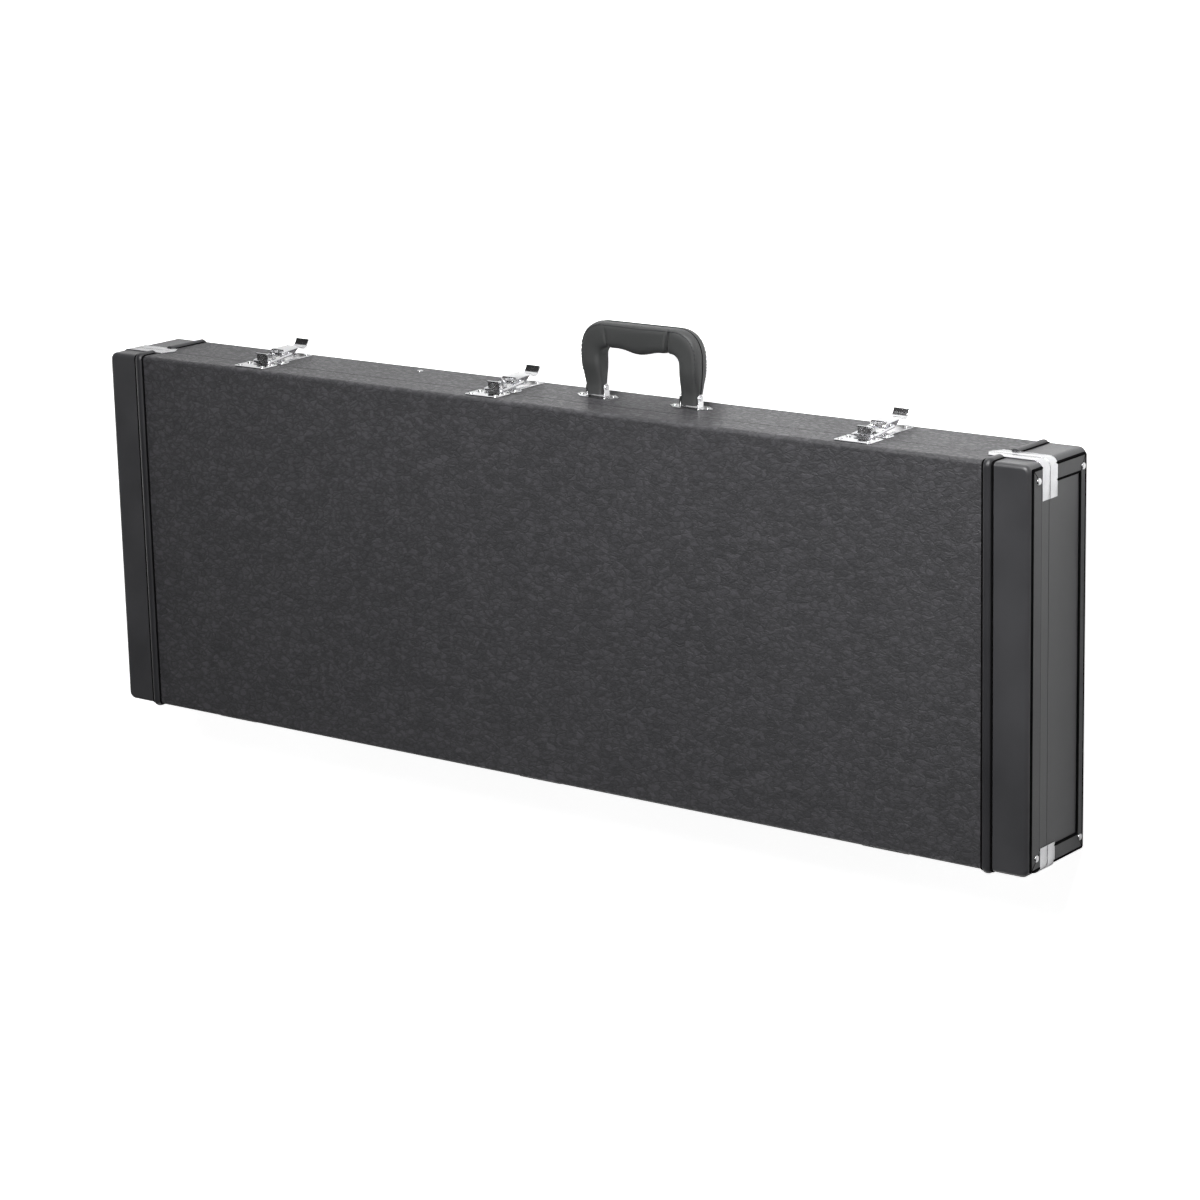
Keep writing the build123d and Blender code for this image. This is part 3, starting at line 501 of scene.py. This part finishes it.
# Mesh helpers
def meshObject(name, vertices, faces, material, smooth=True):
    mesh = bpy.data.meshes.new(name)
    mesh.from_pydata([tuple(v) for v in vertices], [], faces)
    mesh.update()
    obj = bpy.data.objects.new(name, mesh)
    bpy.context.collection.objects.link(obj)
    mesh.materials.append(material)
    for face in mesh.polygons:
        face.use_smooth = smooth
    return obj


def applyModifiers(obj):
    seen = bpy.context.evaluated_depsgraph_get()
    mesh = bpy.data.meshes.new_from_object(obj.evaluated_get(seen))
    obj.modifiers.clear()
    obj.data = mesh


def fixNormals(obj, sharpAngle=None):
    work = bmesh.new()
    work.from_mesh(obj.data)
    bmesh.ops.recalc_face_normals(work, faces=work.faces)
    work.to_mesh(obj.data)
    work.free()
    for face in obj.data.polygons:
        face.use_smooth = True
    if sharpAngle:
        obj.data.set_sharp_from_angle(angle=math.radians(sharpAngle))


def sit(obj, body, slotName, *replaced):
    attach(obj, body)
    if replaced:
        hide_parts(*replaced)
    return obj


def roundedCopy(nodeName, width, material, body, slotName):
    # The CAD solid again with its sharp edges broken, so that they catch the light
    mesh = nodes[nodeName].data.copy()
    obj = bpy.data.objects.new(nodeName + "_edged", mesh)
    bpy.context.collection.objects.link(obj)
    mesh.materials.clear()
    mesh.materials.append(material)
    work = bmesh.new()
    work.from_mesh(mesh)
    bmesh.ops.remove_doubles(work, verts=work.verts, dist=2e-6)
    bmesh.ops.dissolve_limit(work, angle_limit=math.radians(0.6), verts=work.verts, edges=work.edges)
    work.to_mesh(mesh)
    work.free()
    bevel = obj.modifiers.new("edges", "BEVEL")
    bevel.width = width
    bevel.segments = 2
    bevel.limit_method = "ANGLE"
    bevel.angle_limit = math.radians(40)
    applyModifiers(obj)
    fixNormals(obj, 32)
    return sit(obj, body, slotName, nodeName)


def roundedPath(points, radius, steps=6):
    # A polyline with each corner turned into an arc
    points = [Vector(p) for p in points]
    path = [points[0]]
    for before, corner, after in zip(points, points[1:], points[2:]):
        into, out = (before - corner).normalized(), (after - corner).normalized()
        half = into.angle(out) / 2
        reach = min(radius / math.tan(half), (before - corner).length * 0.49, (after - corner).length * 0.49)
        middle = corner + (into + out).normalized() * (reach / math.cos(half))
        arm = reach * math.tan(half)
        start, end = corner + into * reach - middle, corner + out * reach - middle
        sweepAngle = start.angle(end)
        for k in range(steps + 1):
            share = k / steps
            turned = (start * math.sin((1 - share) * sweepAngle) + end * math.sin(share * sweepAngle))
            path.append(middle + turned / math.sin(sweepAngle) * (arm / start.length if start.length else 1))
    return path + [points[-1]]


def tube(path, radius, sides=10):
    # Vertices and faces of a tube along a path, its ends closed with small domes
    path = [Vector(p) for p in path]
    vertices, faces = [], []
    lastUp = None
    for index, point in enumerate(path):
        ahead = path[min(index + 1, len(path) - 1)] - path[max(index - 1, 0)]
        ahead.normalize()
        if lastUp is None:
            lastUp = ahead.orthogonal()
        side = ahead.cross(lastUp).normalized()
        lastUp = side.cross(ahead).normalized()
        for k in range(sides):
            angle = 2 * math.pi * k / sides
            vertices.append(point + side * (radius * math.cos(angle)) + lastUp * (radius * math.sin(angle)))
    for index in range(len(path) - 1):
        for k in range(sides):
            a, b = index * sides + k, index * sides + (k + 1) % sides
            faces.append((a, b, b + sides, a + sides))
    for point, near, ring in ((path[0], path[1], 0), (path[-1], path[-2], (len(path) - 1) * sides)):
        tip = len(vertices)
        vertices.append(point + (point - near).normalized() * radius * 0.35)
        faces += [(ring + k, ring + (k + 1) % sides, tip) for k in range(sides)]
    return vertices, faces


def joinParts(name, parts, material, sharpAngle=None):
    vertices, faces = [], []
    for some, more in parts:
        shift = len(vertices)
        vertices += some
        faces += [tuple(i + shift for i in face) for face in more]
    obj = meshObject(name, vertices, faces, material)
    fixNormals(obj, sharpAngle)
    return obj


def lathe(origin, axis, profile, sides=32):
    # Vertices and faces of a turned form, its profile given as (radius, height) from foot to crown
    axis = Vector(axis).normalized()
    first = axis.orthogonal().normalized()
    second = axis.cross(first)
    vertices, faces = [], []
    for radius, height in profile:
        for k in range(sides):
            angle = 2 * math.pi * k / sides
            around = first * math.cos(angle) + second * math.sin(angle)
            vertices.append(Vector(origin) + axis * height + around * max(radius, 1e-6))
    for ring in range(len(profile) - 1):
        for k in range(sides):
            a, b = ring * sides + k, ring * sides + (k + 1) % sides
            faces.append((a, b, b + sides, a + sides))
    last = (len(profile) - 1) * sides
    faces.append(tuple(last + k for k in range(sides)))
    faces.append(tuple(reversed(range(sides))))
    return vertices, faces


def islandBoxes(nodeName):
    # The box round each separate solid of a node
    work = bmesh.new()
    work.from_mesh(nodes[nodeName].data)
    bmesh.ops.remove_doubles(work, verts=work.verts, dist=2e-6)
    left, boxes = set(work.verts), []
    while left:
        queue, found = [left.pop()], []
        while queue:
            vertex = queue.pop()
            found.append(vertex.co.copy())
            for edge in vertex.link_edges:
                other = edge.other_vert(vertex)
                if other in left:
                    left.remove(other)
                    queue.append(other)
        low = Vector([min(p[a] for p in found) for a in range(3)])
        high = Vector([max(p[a] for p in found) for a in range(3)])
        boxes.append((low, high))
    work.free()
    return boxes


def softCopy(nodeName, pieceName, voxel, smoothing, roughen, material, body, slotName, ripple=22):
    # A padded copy of a plain solid: remeshed, smoothed so its edges round over, then rippled a little
    obj = bpy.data.objects.new(pieceName, nodes[nodeName].data.copy())
    bpy.context.collection.objects.link(obj)
    obj.data.materials.clear()
    obj.data.materials.append(material)
    remesh = obj.modifiers.new("remesh", "REMESH")
    remesh.mode = "VOXEL"
    remesh.voxel_size = voxel
    soften = obj.modifiers.new("soften", "SMOOTH")
    soften.iterations = smoothing
    soften.factor = 0.5
    applyModifiers(obj)
    low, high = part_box(nodeName)
    normals = [vertex.normal.copy() for vertex in obj.data.vertices]
    moved = []
    for vertex, normal in zip(obj.data.vertices, normals):
        place = vertex.co + normal * (noise.noise(vertex.co * ripple) * roughen)
        moved += [min(max(place[axis], low[axis]), high[axis]) for axis in range(3)]
    obj.data.vertices.foreach_set("co", moved)
    obj.data.update()
    for face in obj.data.polygons:
        face.use_smooth = True
    return sit(obj, body, slotName, nodeName)


def cutGrid(mesh, step):
    # Cut a plain mesh along evenly spaced planes on all three axes, so that it can be shaped
    work = bmesh.new()
    work.from_mesh(mesh)
    bmesh.ops.remove_doubles(work, verts=work.verts, dist=2e-6)
    for axis in range(3):
        places = [vertex.co[axis] for vertex in work.verts]
        normal = Vector((axis == 0, axis == 1, axis == 2))
        count = int((max(places) - min(places)) / step)
        for k in range(1, count + 1):
            point = normal * (min(places) + (k - 0.37) * step)
            held = work.verts[:] + work.edges[:] + work.faces[:]
            bmesh.ops.bisect_plane(work, geom=held, dist=1e-6, plane_co=point, plane_no=normal)
    work.to_mesh(mesh)
    work.free()


def rippledCopy(nodeName, step, depth, width, material, body, slotName, ripple=30):
    # The CAD solid again with softened edges and faces that sink a little in slow ripples
    mesh = nodes[nodeName].data.copy()
    obj = bpy.data.objects.new(nodeName + "_rippled", mesh)
    bpy.context.collection.objects.link(obj)
    mesh.materials.clear()
    mesh.materials.append(material)
    bevel = obj.modifiers.new("edges", "BEVEL")
    bevel.width = width
    bevel.segments = 2
    bevel.limit_method = "ANGLE"
    bevel.angle_limit = math.radians(40)
    applyModifiers(obj)
    cutGrid(obj.data, step)
    normals = [vertex.normal.copy() for vertex in obj.data.vertices]
    moved = []
    for vertex, normal in zip(obj.data.vertices, normals):
        sink = depth * (0.5 + 0.5 * noise.noise(vertex.co * ripple))
        moved += list(vertex.co - normal * sink)
    obj.data.vertices.foreach_set("co", moved)
    obj.data.update()
    fixNormals(obj, 45)
    return sit(obj, body, slotName, nodeName)


# Faces of the case, taken from the frame
baseLow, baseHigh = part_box("base_covering")
lidLow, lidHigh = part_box("lid_covering")
latchFace, hingeFace = baseLow[1], baseHigh[1]
parting = baseHigh[2]
lidBottom, lidTop = lidLow[2], lidHigh[2]
bandEdge = baseHigh[0]
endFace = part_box("base_end_band_left")[1][0]

# Floor, white to the camera but still taking the case's shadow
floor = {"size": 14.0, "glow": 0.88, "albedo": 0.9}


def makeFloor():
    half = floor["size"] / 2
    corners = [(-half, -half, 0), (half, -half, 0), (half, half, 0), (-half, half, 0)]
    material, tree, shader = newMaterial("studio_floor")
    shader.inputs["Base Color"].default_value = (floor["albedo"],) * 3 + (1,)
    shader.inputs["Roughness"].default_value = 0.9
    shader.inputs["Specular IOR Level"].default_value = 0.1
    glow = addNode(tree, "ShaderNodeEmission")
    seen = addNode(tree, "ShaderNodeLightPath")
    shows = mathNode(tree, "MAXIMUM", seen.outputs["Is Camera Ray"], seen.outputs["Is Transmission Ray"])
    tree.links.new(mathNode(tree, "MULTIPLY", shows, floor["glow"]), glow.inputs["Strength"])
    both = addNode(tree, "ShaderNodeAddShader")
    tree.links.new(shader.outputs[0], both.inputs[0])
    tree.links.new(glow.outputs[0], both.inputs[1])
    tree.links.new(both.outputs[0], tree.nodes["Material Output"].inputs["Surface"])
    meshObject("studio_floor", corners, [(0, 1, 2, 3)], material, False)


makeFloor()

# World: a soft tent with a darker ceiling, level where the camera sees it. Its colour is left at Blender's
# own dark grey, a twentieth of white, so it adds little light and shows grey past the floor's edge
light = {
    "horizon": 0.84,
    "ceiling": 0.40,
    "glossyCeiling": 0.52,  # the same for glossy rays
    "ceilingStart": 0.25,
    "ceilingEnd": 0.75,
}


def makeWorld():
    world = bpy.data.worlds.new("studio")
    bpy.context.scene.world = world
    world.use_nodes = True
    tree = world.node_tree
    background = tree.nodes["Background"]
    place = addNode(tree, "ShaderNodeTexCoord")
    split = addNode(tree, "ShaderNodeSeparateXYZ")
    tree.links.new(place.outputs["Generated"], split.inputs[0])
    level = addNode(tree, "ShaderNodeMapRange", interpolation_type="SMOOTHSTEP")
    tree.links.new(split.outputs["Z"], level.inputs["Value"])
    level.inputs["From Min"].default_value = light["ceilingStart"]
    level.inputs["From Max"].default_value = light["ceilingEnd"]
    level.inputs["To Min"].default_value = light["horizon"]
    seen = addNode(tree, "ShaderNodeLightPath")
    lift = light["glossyCeiling"] - light["ceiling"]
    more = mathNode(tree, "MULTIPLY", seen.outputs["Is Glossy Ray"], lift)
    tree.links.new(mathNode(tree, "ADD", more, light["ceiling"]), level.inputs["To Max"])
    shows = mathNode(tree, "MAXIMUM", seen.outputs["Is Camera Ray"], seen.outputs["Is Transmission Ray"])
    change = mathNode(tree, "SUBTRACT", 1.0, level.outputs["Result"])
    strength = mathNode(tree, "ADD", level.outputs["Result"], mathNode(tree, "MULTIPLY", shows, change))
    tree.links.new(strength, background.inputs["Strength"])


makeWorld()

# name: (place, aim, width, height, power). The last two light the hinge side and the far end from low down
lamps = {
    "top": ((-0.2, -2.6, 1.3), (0, -0.1, 0.05), 2.6, 1.0, 30.0),
    "front": ((-0.42, -1.0, 1.15), (-0.15, -0.12, 0.09), 0.9, 0.7, 31.0),
    "end": ((-2.9, -0.4, 1.6), (-0.5, 0, 0.05), 1.4, 1.0, 8.0),
    "back": ((0.5, 2.2, 0.32), (0, 0.18, 0.05), 2.2, 0.5, 13.0),
    "far": ((2.4, 0.1, 0.32), (0.53, 0, 0.05), 1.0, 0.5, 5.0),
}


def makeLamps():
    for name, (place, aim, width, height, power) in lamps.items():
        data = bpy.data.lights.new(name, "AREA")
        data.shape = "RECTANGLE"
        data.size, data.size_y = width, height
        data.energy = power
        lamp = bpy.data.objects.new(name, data)
        bpy.context.collection.objects.link(lamp)
        lamp.location = place
        lamp.rotation_euler = (Vector(aim) - Vector(place)).to_track_quat("-Z", "Y").to_euler()


makeLamps()
print("stage set")

# Handle: a moulded grip lofted along its U-shaped line, finger waves under it, creased at the shoulders
gripLow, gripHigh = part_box("handle_grip")
handle = {
    "footHalf": 0.0525, "widestOut": 0.042, "footWidth": 0.0085, "footThick": 0.0058,
    "gripDepth": 0.0235, "legWidth": 0.0215, "wave": 0.0036, "waveRun": 0.024, "shoulder": 0.027,
    "legEnd": 0.36, "turnEnd": 0.64, "innerTurn": 0.009, "bulge": 0.84, "thinFrom": 0.010, "thinRun": 0.026,
    "stations": 260, "sides": 48, "squareness": 4.2,
    "creases": ((-0.0325, 0.0052, 0.0017), (0.036, 0.0012, 0.0018)),  # place, depth and width of each
    "creaseZone": 0.022, "creaseShare": 0.6,
    "stitches": 64, "stitchInset": 0.105, "stitchRadius": 0.00062,
    "stitchFrom": 0.10, "stitchRun": 0.80, "stitchLength": 0.0075,
    "seamFrom": 0.03, "seamRun": 0.94, "seamPoints": 160, "seamOut": 0.992, "seamRadius": 0.0005,
}
gripCentre = (gripLow[0] + gripHigh[0]) / 2
gripHeight = (gripLow[2] + gripHigh[2]) / 2
gripReach = latchFace - gripLow[1]
gripHalf = (gripHigh[0] - gripLow[0]) / 2
gripThick = (gripHigh[2] - gripLow[2]) / 2
footEnd = latchFace - gripHigh[1]


def handleOutline(t):
    # t runs from one foot (0) to the other (1): outer point, inner point and half thickness, as (x, out)
    side = -1 if t < 0.5 else 1
    s = min(t, 1 - t) * 2
    legEnd, turnEnd = handle["legEnd"], handle["turnEnd"]
    under = gripReach - handle["gripDepth"]
    innerHalf = gripHalf - handle["legWidth"]
    footOuter = handle["footHalf"] + handle["footWidth"]
    footInner = handle["footHalf"] - handle["footWidth"]
    turn, bulge = handle["innerTurn"], handle["bulge"]
    if s < legEnd:
        k = s / legEnd
        ease = math.sin(k * math.pi / 2)
        outer = (footOuter + ease * (gripHalf - footOuter), footEnd + k * (handle["widestOut"] - footEnd))
        inner = (footInner + ease * (innerHalf - footInner), footEnd + k * (under - turn - footEnd))
    elif s < turnEnd:
        k = (s - legEnd) / (turnEnd - legEnd) * math.pi / 2
        run = handle["shoulder"]
        rise = gripReach - handle["widestOut"]
        outer = (gripHalf - run + run * math.cos(k) ** bulge,
                 handle["widestOut"] + rise * math.sin(k) ** bulge)
        inner = (innerHalf - turn + turn * math.cos(k), under - turn + turn * math.sin(k))
    else:
        k = (s - turnEnd) / (1 - turnEnd)
        outer = ((gripHalf - handle["shoulder"]) * (1 - k), gripReach)
        x = (innerHalf - turn) * (1 - k)
        swell = 0.5 + 0.5 * math.cos(math.pi * min(1.0, x / handle["waveRun"]))
        inner = (x, under - handle["wave"] * swell)
    thin = min(1.0, max(0.0, (outer[1] - handle["thinFrom"]) / handle["thinRun"]))
    thin = thin * thin * (3 - 2 * thin)
    thick = handle["footThick"] + (gripThick - handle["footThick"]) * thin
    return side, outer, inner, thick


def handlePoint(t, across, over):
    # A point on the grip: across runs from the inner edge (-1) to the outer (1), over from back to front
    side, outer, inner, thick = handleOutline(t)
    x = (outer[0] + inner[0]) / 2 + (outer[0] - inner[0]) / 2 * across
    out = (outer[1] + inner[1]) / 2 + (outer[1] - inner[1]) / 2 * across
    return Vector((gripCentre + side * x, latchFace - out, gripHeight + over * thick))


def makeHandle():
    vertices, faces = [], []
    count, sides = handle["stations"], handle["sides"]
    power = 2 / handle["squareness"]
    for index in range(count + 1):
        t = index / count
        middle = handlePoint(t, 0, 0)
        atTop = latchFace - middle.y > gripReach - handle["creaseZone"]
        pinch = 0.0
        for place, depth, width in handle["creases"]:
            pinch += depth * math.exp(-((middle.x - gripCentre - place) / width) ** 2) if atTop else 0.0
        for k in range(sides):
            angle = 2 * math.pi * k / sides
            c, z = math.cos(angle), math.sin(angle)
            point = handlePoint(t, math.copysign(abs(c) ** power, c), math.copysign(abs(z) ** power, z))
            deeper = max(0.0, handle["creaseShare"] - handle["creaseShare"] * c)
            inward = middle - point
            point += inward.normalized() * min(pinch * deeper, inward.length * 0.5)
            vertices.append(point)
    for index in range(count):
        for k in range(sides):
            a, b = index * sides + k, index * sides + (k + 1) % sides
            faces.append((a, b, b + sides, a + sides))
    faces.append(tuple(reversed(range(sides))))
    faces.append(tuple(count * sides + k for k in range(sides)))
    grip = meshObject("handle_grip_moulded", vertices, faces, handleSkin)
    fixNormals(grip, 50)
    sit(grip, "handle", "handle_skin", "handle_grip")


def stitchParts(ends, radius):
    # Each stitch is a short straight run of thread
    return [tube([start.lerp(end, k / 4) for k in range(5)], radius, 8) for start, end in ends]


def makeHandleStitches():
    ends = []
    count = handle["stitches"]
    edge = 1 - 2 * handle["stitchInset"]
    surface = (1 - edge ** handle["squareness"]) ** (1 / handle["squareness"])
    for over in (1, -1):
        for index in range(count):
            t = handle["stitchFrom"] + handle["stitchRun"] * index / count
            ends.append([handlePoint(u, edge, over * surface) for u in (t, t + handle["stitchLength"])])
    stitches = joinParts("handle_stitches", stitchParts(ends, handle["stitchRadius"]), thread)
    sit(stitches, "handle", "handle_skin")


def makeHandleSeam():
    # The skin's closing seam runs round the outside of the grip
    count = handle["seamPoints"]
    path = [handlePoint(handle["seamFrom"] + handle["seamRun"] * index / count, handle["seamOut"], 0)
            for index in range(count + 1)]
    sit(joinParts("handle_seam", [tube(path, handle["seamRadius"], 8)], shadeAndSeamBlack), "handle", "handle_skin")


makeHandle()
makeHandleStitches()
makeHandleSeam()
print("handle made")

# Near-black lines of painted shade either side of each welt, and in the channels round the borders of the end
# faces
weltShade = {"offset": 0.0049, "radius": 0.00105, "startAbove": 0.0122, "foot": 0.0045, "bend": 0.004}
border = {
    "lid": {"side": 1, "width": 0.013, "innerSeam": 0.0006},
    "base": {"side": -1, "width": 0.0075, "innerSeam": 0.0015},
    "channel": 0.0014, "margin": 0.0007, "channelBend": 0.0015, "seamBend": 0.001,
    "seamGap": 0.0010, "seamIn": 0.0134,
    "mitre": 0.00028, "mitreFrom": 0.0006, "mitreTo": 0.0128, "mitreShort": 0.0004,
}


# Painted shade: near-black tubes down the valleys either side of each welt, on the lid and the base
def makeWeltShadeLines():
    lidParts, baseParts = [], []
    low, high = lidBottom + weltShade["startAbove"], parting - weltShade["startAbove"]
    for end in (1, -1):
        for side in (-1, 1):
            x = end * bandEdge + side * weltShade["offset"]
            corners = [(x, latchFace, low), (x, latchFace, lidTop),
                       (x, hingeFace, lidTop), (x, hingeFace, low)]
            lidParts.append(tube(roundedPath(corners, weltShade["bend"], 8), weltShade["radius"], 8))
            for y in (latchFace, hingeFace):
                baseParts.append(tube([(x, y, weltShade["foot"]), (x, y, high)], weltShade["radius"], 8))
    sit(joinParts("lid_welt_shade_lines", lidParts, shadeAndSeamBlack), "lid", "smooth_vinyl")
    sit(joinParts("base_welt_shade_lines", baseParts, shadeAndSeamBlack), "base", "smooth_vinyl")


# Painted shade: near-black tubes in the channel round each end face's border and along the border's inner
# seam
def makeBorderShadeLines():
    margin = border["margin"]
    for body in ("lid", "base"):
        edge, parts = border[body], []
        side = edge["side"]
        for tag in ("left", "right"):
            low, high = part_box(body + "_end_trim_" + tag)
            x = endFace if tag == "left" else -endFace
            yOut, yIn = high[1] + margin, high[1] - border["seamIn"]
            near = low[2] if side > 0 else high[2]
            far = (high[2] + margin) if side > 0 else (low[2] - margin)
            loop = [(x, -yOut, near), (x, -yOut, far), (x, yOut, far), (x, yOut, near)]
            parts.append(tube(roundedPath(loop, border["channelBend"], 5), border["channel"], 8))
            far -= side * (edge["width"] + border["seamGap"])
            loop = [(x, -yIn, near), (x, -yIn, far), (x, yIn, far), (x, yIn, near)]
            parts.append(tube(roundedPath(loop, border["seamBend"], 4), edge["innerSeam"], 8))
        sit(joinParts(body + "_border_shade_lines", parts, shadeAndSeamBlack), body, "smooth_vinyl")


def makeMitres():
    # The borders' folded corners: a thin diagonal ridge at each, drawn near-black as painted shade in the
    # fold
    inset, reach = border["mitreFrom"], border["mitreTo"]
    for body in ("lid", "base"):
        edge, parts = border[body], []
        side = edge["side"]
        for tag, end in (("left", 1), ("right", -1)):
            low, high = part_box(body + "_end_trim_" + tag)
            x = high[0] if end > 0 else low[0]
            far = high[2] if side > 0 else low[2]
            for y in (low[1], high[1]):
                inward = -1 if y > 0 else 1
                start = (x, y + inward * inset, far - side * inset)
                stop = (x, y + inward * reach, far - side * (edge["width"] - border["mitreShort"]))
                parts.append(tube([start, stop], border["mitre"], 8))
        sit(joinParts(body + "_border_mitres", parts, shadeAndSeamBlack), body, "smooth_vinyl")


makeWeltShadeLines()
makeBorderShadeLines()
makeMitres()
print("seams made")

# Rivets and feet as turned heads in place of the plain ones
head = {
    "sides": 28, "footSides": 40,
    # radius and height, as shares of the rivet's own
    "profile": ((1.0, 0.0), (1.0, 0.16), (0.985, 0.30), (0.93, 0.50), (0.83, 0.68), (0.68, 0.83),
                (0.48, 0.93), (0.25, 0.985), (0.06, 1.0)),
}
rivetNodes = {
    "lid_trim_rivets": "lid", "base_trim_rivets": "base", "wall_rivet": "base", "catch_rivets": "lid",
    "latch_plate_rivets": "base", "handle_rivets": "base", "hinge_base_rivets": "base",
    "hinge_lid_rivets": "lid", "feet": "base",
}


def makeRivets():
    for name, body in rivetNodes.items():
        parts = []
        for low, high in islandBoxes(name):
            size = high - low
            axis = min(range(3), key=lambda a: size[a])
            outward = 1 if (low[axis] + high[axis]) > 0 else -1
            origin = (low + high) / 2
            origin[axis] = low[axis] if outward > 0 else high[axis]
            direction = Vector((0, 0, 0))
            direction[axis] = outward
            radius = max(size) / 2
            profile = [(radius * r, size[axis] * h) for r, h in head["profile"]]
            parts.append(lathe(origin, direction, profile, head["footSides" if name == "feet" else "sides"]))
        slotName = "chrome" if "hinge" not in name else "hinge_steel"
        material = chrome if slotName == "chrome" else hingeSteel
        sit(joinParts(name + "_turned", parts, material, 60), body, slotName, name)


makeRivets()
print("rivets made")

# Draw latches: round wire bails and edge-rounded pressings
wire = {"radius": 0.0013, "bend": 0.0026, "stub": 0.0066, "shrink": 0.98}
pressing = {
    "edge": 0.00028, "bracketEdge": 0.0002,
    # the lever's tip, bent up and in below this height
    "curlFrom": 0.022, "curlUp": 0.0046, "curlIn": 0.0016,
}


def makeBail(number):
    low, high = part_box("latch_bail_%d" % number)
    r = wire["radius"]
    centre = (low[0] + high[0]) / 2
    half = (high[0] - low[0]) / 2 - r
    pinSide, barSide = low[1] + r, high[1] - r
    bottom, top = low[2] + r, high[2] - r
    left, right = centre - half, centre + half
    corners = [
        (centre - wire["stub"], pinSide, bottom), (left, pinSide, bottom), (left, barSide, top),
        (right, barSide, top), (right, pinSide, bottom), (centre + wire["stub"], pinSide, bottom),
    ]
    loop = tube(roundedPath(corners, wire["bend"], 8), r * wire["shrink"], 16)
    bail = joinParts("latch_wire_%d" % number, [loop], wireSteel)
    sit(bail, "bail_%d" % number, "steel", "latch_bail_%d" % number)


def makeLever(number):
    lever = roundedCopy("latch_lever_%d" % number, pressing["edge"], chrome, "lever_%d" % number, "chrome")
    for vertex in lever.data.vertices:
        k = max(0.0, pressing["curlFrom"] - vertex.co.z) / pressing["curlFrom"]
        vertex.co.z += pressing["curlUp"] * k
        vertex.co.y += pressing["curlIn"] * k


def makeLatches():
    edge = pressing["edge"]
    for number in (1, 2, 3):
        makeBail(number)
        makeLever(number)
        roundedCopy("latch_plate_%d" % number, edge, chrome, "base", "chrome")
        roundedCopy("catch_plate_%d" % number, edge, chrome, "lid", "chrome")
        roundedCopy("hinge_base_leaf_%d" % number, edge, hingeSteel, "base", "hinge_steel")
        roundedCopy("hinge_lid_leaf_%d" % number, edge, hingeSteel, "lid", "hinge_steel")


makeLatches()
for side in ("left", "right"):
    roundedCopy("handle_plate_" + side, pressing["edge"], chrome, "base", "chrome")
for body in ("lid", "base"):
    roundedCopy(body + "_corner_brackets", pressing["bracketEdge"], bracketChrome, body, "chrome")
print("latches and hinges made")

# Padding inside. node: (body, voxel, smoothing steps, ripple depth, fill)
padding = {
    "body_bed": ("base", 0.0030, 6, 0.0008, 0.9),
    "neck_cradle": ("base", 0.0026, 6, 0.0006, 0.9),
    "lid_pad": ("lid", 0.0030, 6, 0.0007, 0.7),
}


def makePadding():
    for name, (body, voxel, smoothing, roughen, fill) in padding.items():
        piece = softCopy(name, name + "_padded", voxel, smoothing, roughen, plush, body, "plush")


makePadding()
print("padding made")

# Cloth on the linings and the box: step of the cuts, depth of the ripples and width of the softened edges
lining = {"step": 0.011, "depth": 0.0004, "edge": 0.0003}
board = {"step": 0.011, "depth": 0.0002, "edge": 0.0005}
ribbon = {"step": 0.004, "depth": 0.00014, "edge": 0.00012, "ripple": 90}


def makeLinings():
    for body in ("base", "lid"):
        rippledCopy(body + "_lining", lining["step"], lining["depth"], lining["edge"], plush, body, "plush")
    for name in ("box_tape_hinge", "box_pull_tab"):
        rippledCopy(name, ribbon["step"], ribbon["depth"], ribbon["edge"], tape, "base", "plush",
                    ribbon["ripple"])
    for name in ("box_partitions", "box_cover", "rim_lip"):
        rippledCopy(name, board["step"], board["depth"], board["edge"], plush, "base", "plush")


makeLinings()
print("linings made")
